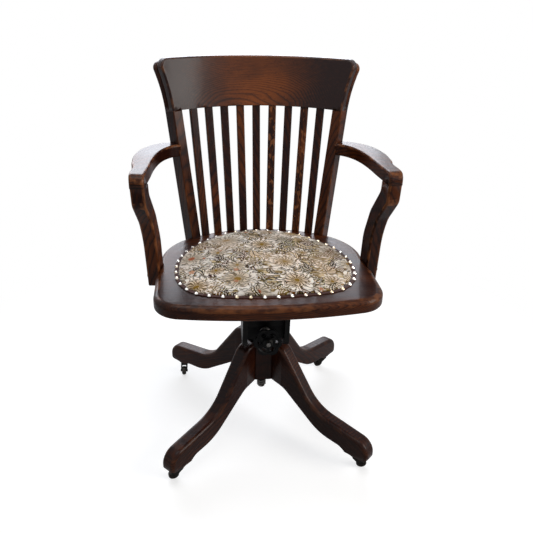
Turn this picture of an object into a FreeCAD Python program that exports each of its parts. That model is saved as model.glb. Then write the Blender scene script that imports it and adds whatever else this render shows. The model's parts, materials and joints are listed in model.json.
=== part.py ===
import FreeCAD, Part
# Bankers swivel chair: an oak armchair on a tilting seat iron and a screw spindle, over four legs on castors.
#
# Millimetres, +Z up, the front of the chair facing -Y. Left is -X, as seen from the front. The floor is
# z = 0 and the origin lies on it, under the middle of the whole chair. The swivel axis is vertical, at
# y = axis_y. Every piece is drawn about the swivel axis and then placed at axis_y.
import math
import os
from types import SimpleNamespace

import Sketcher
from FreeCAD import Placement, Rotation, Vector

SIZES = {
    # The swivel axis stands a little in front of the middle of the chair, because the back leans out behind
    "axis_y": -18.0,
    # Seat board
    "seat_height": 472.0,
    "seat_thickness": 32.0,
    "seat_front": 233.0,
    "seat_front_bow": 29.0,
    "seat_rear": 220.0,
    "seat_rear_radius": 336.0,
    "seat_half_front": 257.0,
    "seat_half_side": 252.0,
    "seat_front_corner": 66.0,
    "seat_rear_corner": 165.0,
    "seat_ear_rear": 44.0,
    "seat_ear_length": 18.0,
    "seat_ear_round": 16.0,
    "seat_top_round": 13.0,
    "seat_bottom_round": 4.0,
    # Stuffed pad with its gimp and dome nails
    "pad_half_width": 211.0,
    "pad_rear": 194.0,
    "pad_front": 188.0,
    "pad_crown": 18.0,
    "pad_crown_radius": 1700.0,
    "pad_edge_round": 2.5,
    "gimp_inside": 5.0,
    "gimp_outside": 3.0,
    "gimp_thickness": 2.0,
    "nail_radius": 5.0,
    "nail_rise": 3.5,
    "nail_count": 43.0,
    # Back: the slats and posts stand on arcs about the sitter and lean back
    "back_radius": 350.0,
    "back_y": 197.0,
    "back_rake": 0.167,
    "crest_above_seat": 325.0,
    "crest_height": 125.0,
    "crest_arch": 4.0,
    "crest_thickness": 22.0,
    "crest_corner": 20.0,
    "crest_round": 5.0,
    "slat_count": 9.0,
    "slat_width": 20.0,
    "slat_thickness": 11.0,
    "slat_setback": 4.0,
    "slat_step_seat": 5.75,
    "slat_step_crest": 6.75,
    "slat_housing": 12.0,
    "post_width": 27.0,
    "post_depth": 39.0,
    "post_setback": 1.0,
    "post_angle_seat": 27.8,
    "post_angle_crest": 34.7,
    "post_turn": 36.0,
    "post_tenon": 24.0,
    "post_flare": 21.0,
    "post_below_crest_top": 4.0,
    "post_corner": 16.0,
    "post_round": 3.0,
    # Arms: a flat board from each post, over an S-shaped stump on the seat's side
    "arm_above_seat": 246.0,
    "arm_thickness": 29.0,
    "arm_nose_round": 19.0,
    "arm_round": 5.0,
    "stump_thickness": 31.5,
    "stump_foot_x": 259.0,
    "stump_cant": 2.1,
    "stump_splay": 8.3,
    "stump_reach": 92.5,
    "stump_below_seat": 10.0,
    "stump_round": 5.0,
    "stump_screw_radius": 2.4,
    "stump_screw_length": 42.0,
    "plug_radius": 5.5,
    "plug_depth": 6.0,
    # Base: an eight-sided hub with a dovetailed leg on four of its faces
    "hub_across": 97.0,
    "hub_height": 110.0,
    "hub_below_seat": 178.0,
    "leg_thickness": 37.0,
    "leg_foot": 44.0,
    "leg_toe_past_castor": 40.0,
    "leg_arch_past_plate": 11.78,
    "leg_round": 9.0,
    "leg_shoulder": 40.0,
    "leg_hollow": 110.0,
    "leg_nose": 38.0,
    "leg_arch": 120.0,
    "dovetail_depth": 20.0,
    "dovetail_neck": 13.0,
    "dovetail_root": 19.0,
    "joint_gap": 0.2,
    # Iron socket let into the hub, with its key
    "socket_flange_radius": 44.0,
    "socket_flange": 5.0,
    "socket_radius": 16.0,
    "socket_length": 137.0,
    "socket_screw_circle": 38.0,
    "socket_screw_radius": 2.2,
    "socket_screw_length": 28.0,
    "key_width": 5.0,
    "key_length": 18.0,
    "key_drop": 8.0,
    "keyway_depth": 2.6,
    "key_play": 0.15,
    # Screw spindle and hand nut
    "spindle_radius": 12.25,
    "spindle_reach": 165.0,
    "collar_gap": 0.9,
    "spindle_collar_radius": 17.0,
    "spindle_collar": 6.0,
    "journal_radius": 10.0,
    "spindle_end_radius": 8.0,
    "spindle_end": 14.0,
    "nut_radius": 31.0,
    "nut_height": 20.0,
    "rise": 78.0,
    "lower": 6.0,
    "running_gap": 0.06,
    "thrust_gap": 0.1,
    "swivel_gap": 0.3,
    "washer": 3.0,
    # Yoke on the spindle's head
    "yoke_sleeve_radius": 22.0,
    "yoke_sleeve": 54.0,
    "yoke_half_width": 43.0,
    "yoke_arm": 12.0,
    "yoke_depth": 30.0,
    "yoke_beam": 16.0,
    "lug_thickness": 7.0,
    "pivot_below_seat": 42.0,
    "pivot_boss": 17.0,
    "pivot_pin_radius": 8.0,
    "cotter_radius": 1.5,
    # Seat iron: two cheeks under two rails, with the tension bar between them
    "cheek_gap": 2.0,
    "cheek_thickness": 12.0,
    "rail_width": 22.0,
    "rail_thickness": 6.0,
    "rail_front": 205.0,
    "rail_rear": 128.0,
    "cheek_below_pivot": 122.0,
    "iron_screw_radius": 2.4,
    "iron_screw_length": 28.0,
    "stop_above_pivot": 10.0,
    "stop_reach": 34.0,
    # Tension bolt, spring, cup and hand wheel, along the bolt's own axis from its trunnion
    "trunnion_y": -32.0,
    "trunnion_rise": 3.9,
    "bolt_slope": 10.5,
    "bolt_radius": 5.0,
    "bolt_length": 122.0,
    "trunnion_radius": 4.0,
    "eye_radius": 8.5,
    "eye_width": 11.0,
    "bar_at": 30.5,
    "bar_thickness": 17.0,
    "bar_half_height": 17.0,
    "wall_thickness": 8.0,
    "bar_slot_half_width": 6.5,
    "bar_slot_half_height": 8.5,
    "cup_at": 88.0,
    "cup_length": 12.0,
    "cup_radius": 20.0,
    "cup_pocket_radius": 17.0,
    "cup_pocket": 9.0,
    "cup_play": 0.3,
    "spring_wire": 4.2,
    "spring_mean_radius": 13.2,
    "spring_turns": 5.5,
    "wheel_radius": 34.0,
    "wheel_thickness": 14.0,
    "wheel_rim": 8.0,
    "wheel_web_at": 2.0,
    "wheel_web": 4.0,
    "wheel_hub_radius": 11.0,
    "wheel_petals": 6.0,
    "wheel_petal_radius": 5.5,
    # Castors under the feet
    "castor_circle": 306.0,
    "castor_plate_radius": 17.0,
    "castor_plate": 3.0,
    "castor_tube_radius": 7.0,
    "castor_tube": 36.0,
    "castor_screw_circle": 13.0,
    "castor_screw_radius": 1.7,
    "castor_screw_length": 18.0,
    "castor_stem_radius": 4.5,
    "castor_crown": 9.7,
    "castor_trail": 16.0,
    "castor_wheel_radius": 13.0,
    "castor_wheel_width": 12.0,
    "castor_axle_radius": 2.5,
    "castor_horn": 3.0,
}

# Each castor's leg, its heading about the swivel axis and the way its wheel trails, in degrees
CORNERS = {
    "front_left": (-135.0, 195.0),
    "front_right": (-45.0, -10.0),
    "back_right": (45.0, 190.0),
    "back_left": (135.0, 265.0),
}

doc = FreeCAD.newDocument("bankers_swivel_chair")
sheet = doc.addObject("Spreadsheet::Sheet", "Sizes")
for row, (alias, number) in enumerate(SIZES.items(), 1):
    sheet.set(f"A{row}", alias)
    sheet.set(f"B{row}", str(number))
    sheet.setAlias(f"B{row}", alias)
doc.recompute()
S = SimpleNamespace(**{alias: float(sheet.get(alias)) for alias in SIZES})
NODES = {}


# Helpers: outlines


def line(start, end):
    return Part.LineSegment(Vector(*start, 0), Vector(*end, 0))


def arc(start, middle, end):
    return Part.Arc(Vector(*start, 0), Vector(*middle, 0), Vector(*end, 0))


def circle(x, y, radius):
    return Part.Circle(Vector(x, y, 0), Vector(0, 0, 1), radius)


def spline(points, leaving=None, arriving=None):
    """A smooth curve through points, with directions at its ends where they are given."""
    curve = Part.BSplineCurve()
    spots = [Vector(x, y, 0) for x, y in points]
    if leaving is None:
        curve.interpolate(spots)
    else:
        curve.interpolate(spots, InitialTangent=Vector(*leaving, 0), FinalTangent=Vector(*arriving, 0))
    return curve


def polygon(*corners):
    """A closed run of lines through corners (x, y, radius). A negative radius cuts the corner off flat."""
    ends = []
    for i, (x, y, radius) in enumerate(corners):
        here = Vector(x, y, 0)
        back = (Vector(*corners[i - 1][:2], 0) - here).normalize()
        ahead = (Vector(*corners[(i + 1) % len(corners)][:2], 0) - here).normalize()
        if radius == 0:
            ends.append((here, here, None))
        elif radius < 0:
            ends.append((here - back * radius, here - ahead * radius, None))
        else:
            half = back.getAngle(ahead) / 2
            reach = radius / math.tan(half)
            inward = (back + ahead).normalize()
            middle = here + inward * (radius / math.sin(half) - radius)
            ends.append((here + back * reach, here + ahead * reach, middle))
    runs = []
    for i, (first, last, middle) in enumerate(ends):
        if middle is not None:
            runs.append(Part.Arc(first, middle, last))
        elif first != last:
            runs.append(Part.LineSegment(first, last))
        following = ends[(i + 1) % len(ends)][0]
        if (following - last).Length > 1e-6:
            runs.append(Part.LineSegment(last, following))
    return runs


def rectangle(x0, y0, x1, y1, radius=0.0):
    return polygon((x0, y0, radius), (x1, y0, radius), (x1, y1, radius), (x0, y1, radius))


# Helpers: bodies and their features


def new_body(name):
    made = doc.addObject("PartDesign::Body", name)
    made.Placement = Placement(Vector(0, S.axis_y, 0), Rotation())
    return made


def plane(body, role):
    for feature in body.Origin.OriginFeatures:
        if feature.Role == role:
            return feature
    raise ValueError(role)


def sketch(body, role, curves, lift=0.0):
    made = body.newObject("Sketcher::SketchObject", body.Name + "_sketch")
    made.AttachmentSupport = [(plane(body, role), "")]
    made.MapMode = "FlatFace"
    made.AttachmentOffset = Placement(Vector(0, 0, lift), Rotation())
    for curve in curves:
        made.addGeometry(curve, False)
    return made


def feature(body, kind, profile, length, both=False, away=False):
    """A pad or pocket of that length, which is an expression of the sheet's cells."""
    made = body.newObject("PartDesign::" + kind, body.Name + "_" + kind.lower())
    made.Profile = profile
    made.setExpression("Length", length)
    made.SideType = "Symmetric" if both else "One side"
    made.Reversed = away
    doc.recompute()
    return made


def revolve(body, outline, role="XZ_Plane", axis="V_Axis"):
    profile = sketch(body, role, outline)
    made = body.newObject("PartDesign::Revolution", body.Name + "_turned")
    made.Profile = profile
    made.ReferenceAxis = (profile, [axis])
    made.Angle = 360
    doc.recompute()
    return made


def round_edges(body, test, radius):
    """Rounds the edges of the body that pass the test."""
    base = body.Tip
    names = [f"Edge{i}" for i, edge in enumerate(base.Shape.Edges, 1) if test(edge)]
    if not names:
        raise ValueError(f"{body.Name} has no such edge")
    made = body.newObject("PartDesign::Fillet", body.Name + "_round")
    made.Base = (base, names)
    made.setExpression("Radius", radius)
    doc.recompute()
    return made


def pattern(body, originals, count):
    made = body.newObject("PartDesign::PolarPattern", body.Name + "_pattern")
    made.Originals = originals
    made.Axis = (plane(body, "Z_Axis"), [""])
    made.Angle = 360
    made.Occurrences = int(count)
    body.Tip = made
    doc.recompute()
    return made


def mirrored(body, originals):
    made = body.newObject("PartDesign::Mirrored", body.Name + "_mirrored")
    made.Originals = originals
    made.MirrorPlane = (plane(body, "YZ_Plane"), [""])
    body.Tip = made
    doc.recompute()
    return made


def fixed(name, shape):
    """A piece whose shape is worked out here, about the swivel axis."""
    made = doc.addObject("Part::Feature", name)
    made.Shape = shape
    made.Placement = Placement(Vector(0, S.axis_y, 0), Rotation())
    return made


def cut(name, base, *tools):
    made = doc.addObject("Part::Cut", name)
    made.Base = base
    if len(tools) == 1:
        made.Tool = tools[0]
    else:
        made.Tool = doc.addObject("Part::Compound", name + "_tools")
        made.Tool.Links = list(tools)
    doc.recompute()
    return made


def node(name, made):
    made.Label = name
    NODES[name] = made
    return made


# Where things lie

SEAT_BOTTOM = S.seat_height - S.seat_thickness
HUB_TOP = SEAT_BOTTOM - S.hub_below_seat
HUB_BOTTOM = HUB_TOP - S.hub_height
HUB_FACE = S.hub_across / 2
FLANGE_TOP = HUB_TOP + S.socket_flange
SOCKET_BOTTOM = HUB_TOP - S.socket_length
NUT_BOTTOM = FLANGE_TOP + S.thrust_gap
NUT_TOP = NUT_BOTTOM + S.nut_height
KEY_TOP = HUB_TOP - S.key_drop
KEY_BOTTOM = KEY_TOP - S.key_length
KEYWAY_FLOOR = S.spindle_radius - S.keyway_depth
SPINDLE_BOTTOM = HUB_TOP - S.spindle_reach
COLLAR_BOTTOM = NUT_TOP + S.lower + S.collar_gap
COLLAR_TOP = COLLAR_BOTTOM + S.spindle_collar
SLEEVE_BOTTOM = COLLAR_TOP + S.thrust_gap
SLEEVE_TOP = SLEEVE_BOTTOM + S.yoke_sleeve
JOURNAL_TOP = SLEEVE_TOP + S.thrust_gap
TRUNNION = SLEEVE_BOTTOM + S.trunnion_rise
PIVOT = SEAT_BOTTOM - S.pivot_below_seat
TILT_STOP = PIVOT + S.stop_above_pivot
CHEEK_IN = S.yoke_half_width + S.cheek_gap
CHEEK_OUT = CHEEK_IN + S.cheek_thickness
RAIL_BOTTOM = SEAT_BOTTOM - S.rail_thickness
ARM_TOP = S.seat_height + S.arm_above_seat
ARM_BOTTOM = ARM_TOP - S.arm_thickness
STUMP_FOOT = SEAT_BOTTOM - S.stump_below_seat
CREST_BOTTOM = S.seat_height + S.crest_above_seat
CREST_TOP = CREST_BOTTOM + S.crest_height
POST_TOP = CREST_TOP - S.post_below_crest_top
PLATE_BOTTOM = S.leg_foot - S.castor_plate
CROWN_TOP = PLATE_BOTTOM - S.swivel_gap
FORK_IN = S.castor_wheel_width / 2 + S.swivel_gap
FORK_OUT = FORK_IN + S.castor_horn


def back_point(angle, height, depth=0.0):
    """A point of the back: angle from the middle, height above the floor, depth behind the front faces."""
    middle = S.back_y - S.back_radius + S.back_rake * (height - S.seat_height)
    reach = S.back_radius + depth
    turn = math.radians(angle)
    return Vector(reach * math.sin(turn), middle + reach * math.cos(turn), height)


def fan(seat_angle, crest_angle, height):
    """The angle of a slat or post at a height, between its angles at the seat and at the crest."""
    share = (height - S.seat_height) / (CREST_BOTTOM - S.seat_height)
    return seat_angle + (crest_angle - seat_angle) * share


def upright(low, high, angle):
    """A placement at low, whose z runs to high, whose y points out behind the sitter and x to the right."""
    along = (high - low).normalize()
    turn = math.radians(angle)
    out = Vector(math.sin(turn), math.cos(turn), 0)
    out = (out - along * out.dot(along)).normalize()
    return Placement(low + Vector(0, S.axis_y, 0), Rotation(out.cross(along), out, along, "ZYX"))


def on_bolt(along):
    """The placement of a piece turned about Z that sits on the tension bolt, along from its trunnion."""
    slope = math.radians(S.bolt_slope)
    step = Vector(0, -math.cos(slope), math.sin(slope)) * along
    start = Vector(0, S.trunnion_y + S.axis_y, TRUNNION)
    return Placement(start + step, Rotation(Vector(1, 0, 0), 90 - S.bolt_slope))


def under_foot(corner):
    """The placement of a castor's piece under its leg, turned to the way the castor trails."""
    heading, trailing = CORNERS[corner]
    angle = math.radians(heading)
    x = S.castor_circle * math.cos(angle)
    y = S.castor_circle * math.sin(angle) + S.axis_y
    return Placement(Vector(x, y, 0), Rotation(Vector(0, 0, 1), trailing))


# Base: hub, legs and the iron socket


def leg_at(out, up):
    """A point of the leg's side view, out from the hub's face to the toe and up from the foot to the hub's top."""
    toe = S.castor_circle + S.leg_toe_past_castor
    return (HUB_FACE + (toe - HUB_FACE) * out, S.leg_foot + (HUB_TOP - S.leg_foot) * up)


def dovetail(play=0.0):
    """The plan of the leg's tongue, or of its slot with some play."""
    neck = S.dovetail_neck / 2 + play
    root = S.dovetail_root / 2 + play
    face = HUB_FACE + 1
    deep = HUB_FACE - S.dovetail_depth - play
    return polygon((face, -neck, 0), (face, neck, 0), (deep, root, 0), (deep, -root, 0))


def leg(corner):
    """A bandsawn leg: it falls from the hub in an ogee and runs out over a flat foot."""
    flat = S.castor_plate_radius + 5
    toe_top = leg_at(1, 0.215)
    toe_foot = leg_at(1, 0.03)
    nose = min(S.leg_nose, toe_top[1] - toe_foot[1])
    arch_end = S.castor_circle - flat - S.leg_arch_past_plate
    outline = polygon(
        (HUB_FACE, HUB_TOP, 0),
        (*leg_at(0.091, 1), S.leg_shoulder),
        (*leg_at(0.446, 0.335), S.leg_hollow),
        (*toe_top, nose),
        (*toe_foot, 0),
        (S.castor_circle + flat + 6, S.leg_foot, 0),
        (S.castor_circle - flat, S.leg_foot, 0),
        (arch_end, leg_at(0.752, 0.046)[1], nose),
        (*leg_at(0.522, 0.08), S.leg_arch),
        (*leg_at(0.138, 0.455), S.leg_arch / 2),
        (HUB_FACE, HUB_BOTTOM, 0),
    )
    made = new_body("leg_blank_" + corner)
    feature(made, "Pad", sketch(made, "XZ_Plane", outline), "Sizes.leg_thickness", both=True)
    side = S.leg_thickness / 2

    def on_top(edge):
        middle = edge.CenterOfMass
        if abs(abs(middle.y) - side) > 0.01 or middle.x < HUB_FACE + 1:
            return False
        return edge.BoundBox.ZMax > S.leg_foot + 20 and not below(made.Tip.Shape, edge)

    round_edges(made, on_top, "Sizes.leg_round")
    tongue = sketch(made, "XY_Plane", dovetail(), HUB_BOTTOM)
    feature(made, "Pad", tongue, "Sizes.hub_height")
    made.Placement = Placement(Vector(0, S.axis_y, 0), Rotation(Vector(0, 0, 1), CORNERS[corner][0]))
    return made


def below(shape, edge):
    """Whether an edge of a solid has the solid over it."""
    spot = edge.discretize(3)[1]
    return shape.isInside(Vector(spot.x, spot.y * 0.9, spot.z + 2), 0.01, True)


def hub():
    """The eight-sided hub, bored for the socket and slotted for the four dovetails."""
    made = new_body("hub_block")
    corner = HUB_FACE * math.tan(math.radians(22.5))
    points = []
    for turn in range(0, 360, 45):
        angle = math.radians(turn)
        x = HUB_FACE * math.cos(angle) - corner * math.sin(angle)
        y = HUB_FACE * math.sin(angle) + corner * math.cos(angle)
        points.append((x, y, 0))
    height = "Sizes.hub_height"
    feature(made, "Pad", sketch(made, "XY_Plane", polygon(*points), HUB_BOTTOM), height)
    bore = sketch(made, "XY_Plane", [circle(0, 0, S.socket_radius)], HUB_BOTTOM)
    feature(made, "Pocket", bore, height, away=True)
    slot = sketch(made, "XY_Plane", dovetail(S.joint_gap), HUB_BOTTOM)
    slot.AttachmentOffset = Placement(Vector(0, 0, HUB_BOTTOM), Rotation(Vector(0, 0, 1), 45))
    cut_slot = feature(made, "Pocket", slot, height, away=True)
    pattern(made, [cut_slot], 4)
    return made


def socket():
    """The iron socket: a flange over the hub and the legs' roots, and a tube down through the hub."""
    made = new_body("socket_blank")
    low = S.socket_flange_radius
    bore = S.spindle_radius + S.running_gap
    outline = polygon(
        (bore, SOCKET_BOTTOM, 0),
        (S.socket_radius, SOCKET_BOTTOM, 0),
        (S.socket_radius, HUB_TOP, 0),
        (low, HUB_TOP, 0),
        (low, FLANGE_TOP, -1.5),
        (bore, FLANGE_TOP, 0),
    )
    revolve(made, outline)
    half = S.key_width / 2
    slot = rectangle(-half, 0, half, S.socket_radius + 1)
    feature(made, "Pocket", sketch(made, "XY_Plane", slot, KEY_BOTTOM), "Sizes.key_length", away=True)
    return made


def screws(name, places, head, rise, shank, length, sunk=False):
    """A group of wood screws. Each place has the face under its head at z = 0 and its shank running down."""
    made = []
    for number, place in enumerate(places, 1):
        part_name = f"{name}_{number}"
        crown = doc.addObject("Part::Cone", part_name + "_head")
        crown.setExpression("Radius1", shank if sunk else head)
        crown.setExpression("Radius2", head if sunk else head + " * 0.55")
        crown.setExpression("Height", rise)
        stem = doc.addObject("Part::Cylinder", part_name + "_shank")
        stem.setExpression("Radius", shank)
        stem.setExpression("Height", length)
        stem.Placement = Placement(Vector(0, 0, 0), Rotation(Vector(1, 0, 0), 180))
        doc.recompute()
        if sunk:
            crown.Placement = Placement(Vector(0, 0, -crown.Height.Value), Rotation())
        whole = doc.addObject("Part::MultiFuse", part_name)
        whole.Shapes = [crown, stem]
        whole.Placement = place
        made.append(whole)
    group = doc.addObject("Part::Compound", name)
    group.Links = made
    doc.recompute()
    return group


def ring_places(radius, count, height, start=0.0, turn=Rotation()):
    """Places spaced evenly on a circle about the swivel axis."""
    places = []
    for number in range(count):
        angle = math.radians(start + 360 * number / count)
        places.append(Placement(Vector(radius * math.cos(angle), radius * math.sin(angle) + S.axis_y, height), turn))
    return places


# Castors


def castor_plate(corner):
    """The round plate under a foot, with the tube that goes up into the leg and takes the castor's stem."""
    made = new_body("plate_blank_" + corner)
    bore = S.castor_stem_radius + S.running_gap
    top = S.leg_foot + S.castor_tube
    outline = polygon(
        (bore, PLATE_BOTTOM, 0),
        (S.castor_plate_radius, PLATE_BOTTOM, 0),
        (S.castor_plate_radius, S.leg_foot, 0),
        (S.castor_tube_radius, S.leg_foot, 0),
        (S.castor_tube_radius, top, -1),
        (0, top, 0),
        (0, top - 2, 0),
        (bore, top - 2, 0),
    )
    revolve(made, outline)
    made.Placement = under_foot(corner)
    return made


def leg_bore(corner):
    """The hole in the leg for the castor's tube."""
    bore = doc.addObject("Part::Cylinder", "leg_bore_" + corner)
    bore.setExpression("Radius", "Sizes.castor_tube_radius")
    bore.setExpression("Height", "Sizes.castor_tube + 1")
    bore.Placement = under_foot(corner).multiply(Placement(Vector(0, 0, S.leg_foot - 1), Rotation()))
    return bore


def plate_screw_places():
    """Three screws in each castor plate, heads down."""
    places = []
    for corner in CORNERS:
        base = under_foot(corner)
        for number in range(3):
            angle = math.radians(60 + 120 * number)
            spot = Vector(S.castor_screw_circle * math.cos(angle), S.castor_screw_circle * math.sin(angle), PLATE_BOTTOM)
            places.append(base.multiply(Placement(spot, Rotation(Vector(1, 0, 0), 180))))
    return places


def castor_fork(corner):
    """The swivelling horn: a crown with a stem, and two cheeks that reach back to the axle."""
    made = new_body("castor_fork_" + corner)
    crown = CROWN_TOP - S.castor_crown
    boss = S.castor_axle_radius + 3
    profile = polygon(
        (-10, CROWN_TOP, 1),
        (10, CROWN_TOP, 3),
        (S.castor_trail + boss, S.castor_wheel_radius + 4, boss * 0.7),
        (S.castor_trail + 2, S.castor_wheel_radius - boss, boss * 0.7),
        (S.castor_trail - boss, S.castor_wheel_radius, boss * 0.4),
        (-7, crown, 3),
    )
    feature(made, "Pad", sketch(made, "XZ_Plane", profile), f"{2 * FORK_OUT}", both=True)
    gap = rectangle(-30, -10, 60, crown)
    feature(made, "Pocket", sketch(made, "XZ_Plane", gap), f"{2 * FORK_IN}", both=True)
    stem = sketch(made, "XY_Plane", [circle(0, 0, S.castor_stem_radius)], CROWN_TOP - 1)
    feature(made, "Pad", stem, "Sizes.castor_tube - 2")
    hole = sketch(made, "XZ_Plane", [circle(S.castor_trail, S.castor_wheel_radius, S.castor_axle_radius)])
    feature(made, "Pocket", hole, f"{3 * FORK_OUT}", both=True)
    made.Placement = under_foot(corner)
    return made


def across(name, base, radius, length, middle, along_y=True):
    """A round bar that lies level with its middle at a point of the castor or of the chair."""
    made = doc.addObject("Part::Cylinder", name)
    made.setExpression("Radius", radius)
    made.setExpression("Height", length)
    turn = Rotation(Vector(1, 0, 0), 90) if along_y else Rotation(Vector(0, 1, 0), 90)
    doc.recompute()
    half = turn.multVec(Vector(0, 0, made.Height.Value / 2))
    made.Placement = base.multiply(Placement(middle - half, turn))
    return made


def castor_axle(corner):
    """The wheel's axle, with a riveted head outside each cheek."""
    name = "castor_axle_" + corner
    base = under_foot(corner)
    middle = Vector(S.castor_trail, 0, S.castor_wheel_radius)
    head = S.castor_axle_radius * 0.5
    shaft = across(name + "_shaft", base, "Sizes.castor_axle_radius", f"{2 * FORK_OUT}", middle)
    heads = []
    for side in (-1, 1):
        spot = middle + Vector(0, side * (FORK_OUT + head / 2), 0)
        radius = "Sizes.castor_axle_radius * 1.5"
        heads.append(across(f"{name}_head_{side + 2}", base, radius, "Sizes.castor_axle_radius * 0.5", spot))
    made = doc.addObject("Part::MultiFuse", name)
    made.Shapes = [shaft] + heads
    doc.recompute()
    return made


def castor_wheel(corner):
    """The wheel, with a rounded tread and a bore that runs on the axle."""
    made = new_body("castor_wheel_" + corner)
    bore = S.castor_axle_radius + S.running_gap
    half = S.castor_wheel_width / 2
    outline = polygon(
        (bore, -half, 0),
        (S.castor_wheel_radius * 0.55, -half, 0),
        (S.castor_wheel_radius * 0.62, -half + 1.2, 0),
        (S.castor_wheel_radius * 0.76, -half + 0.4, 0),
        (S.castor_wheel_radius, -half + 0.4, -2.5),
        (S.castor_wheel_radius, half - 0.4, -2.5),
        (S.castor_wheel_radius * 0.76, half - 0.4, 0),
        (S.castor_wheel_radius * 0.62, half - 1.2, 0),
        (S.castor_wheel_radius * 0.55, half, 0),
        (bore, half, 0),
    )
    revolve(made, outline)
    place = Placement(Vector(S.castor_trail, 0, S.castor_wheel_radius), Rotation(Vector(1, 0, 0), 90))
    made.Placement = under_foot(corner).multiply(place)
    return made


# Screw spindle and its hand nut


def spindle():
    """The screw spindle, with a keyway down its back, a collar and a journal for the yoke."""
    made = new_body("spindle")
    end = JOURNAL_TOP + S.spindle_end
    outline = polygon(
        (0, SPINDLE_BOTTOM, 0),
        (S.spindle_radius, SPINDLE_BOTTOM, S.spindle_radius * 0.45),
        (S.spindle_radius, COLLAR_BOTTOM, 0),
        (S.spindle_collar_radius, COLLAR_BOTTOM, -1),
        (S.spindle_collar_radius, COLLAR_TOP, -1),
        (S.journal_radius, COLLAR_TOP, 0),
        (S.journal_radius, JOURNAL_TOP, 0),
        (S.spindle_end_radius, JOURNAL_TOP, 0),
        (S.spindle_end_radius, end, -1),
        (0, end, 0),
    )
    revolve(made, outline)
    half = S.key_width / 2 + S.key_play
    low = KEY_BOTTOM - S.rise - 5
    way = rectangle(-half, KEYWAY_FLOOR, half, S.spindle_radius + 1)
    reach = f"{S.rise + S.lower + 10} + Sizes.key_length"
    feature(made, "Pocket", sketch(made, "XY_Plane", way, low), reach, away=True)
    return made


def key():
    """The key in the socket's wall, which keeps the spindle from turning with the nut."""
    made = doc.addObject("Part::Box", "spindle_key")
    made.setExpression("Length", "Sizes.key_width")
    reach = "sqrt(Sizes.socket_radius^2 - Sizes.key_width^2 / 4) - Sizes.spindle_radius"
    made.setExpression("Width", reach + " + Sizes.keyway_depth - Sizes.key_play")
    made.setExpression("Height", "Sizes.key_length")
    corner = Vector(-S.key_width / 2, KEYWAY_FLOOR + S.key_play + S.axis_y, KEY_BOTTOM)
    made.Placement = Placement(corner, Rotation())
    return made


def hand_nut():
    """The cast hand nut that carries the spindle's screw, scalloped for the fingers."""
    made = new_body("height_nut")
    bore = S.spindle_radius + S.running_gap
    face = NUT_BOTTOM + S.nut_height
    boss = S.spindle_collar_radius
    outline = polygon(
        (bore, NUT_BOTTOM, 0),
        (S.nut_radius - 3, NUT_BOTTOM, 0),
        (S.nut_radius, NUT_BOTTOM + 3, 0),
        (S.nut_radius, face - 7, -2.5),
        (boss + 3, face - 4, 0),
        (boss, face, -1),
        (bore, face, 0),
    )
    revolve(made, outline)
    scallop = sketch(made, "XY_Plane", [circle(S.nut_radius + 4, 0, 8)], NUT_BOTTOM)
    notch = feature(made, "Pocket", scallop, "Sizes.nut_height", away=True)
    pattern(made, [notch], 8)
    return made


def spindle_nut():
    """The washer and hexagon nut that hold the yoke down on the spindle."""
    made = new_body("spindle_nut")
    washer = [circle(0, 0, S.journal_radius * 1.7), circle(0, 0, S.spindle_end_radius)]
    feature(made, "Pad", sketch(made, "XY_Plane", washer, JOURNAL_TOP), "Sizes.washer")
    flat = S.spindle_end_radius * 1.65
    points = []
    for turn in range(30, 390, 60):
        reach = flat / math.cos(math.radians(30))
        points.append((reach * math.cos(math.radians(turn)), reach * math.sin(math.radians(turn)), 0))
    hexagon = polygon(*points) + [circle(0, 0, S.spindle_end_radius)]
    feature(made, "Pad", sketch(made, "XY_Plane", hexagon, JOURNAL_TOP + S.washer), "Sizes.spindle_end - Sizes.washer - 2")
    return made


# Yoke and seat iron


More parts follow.
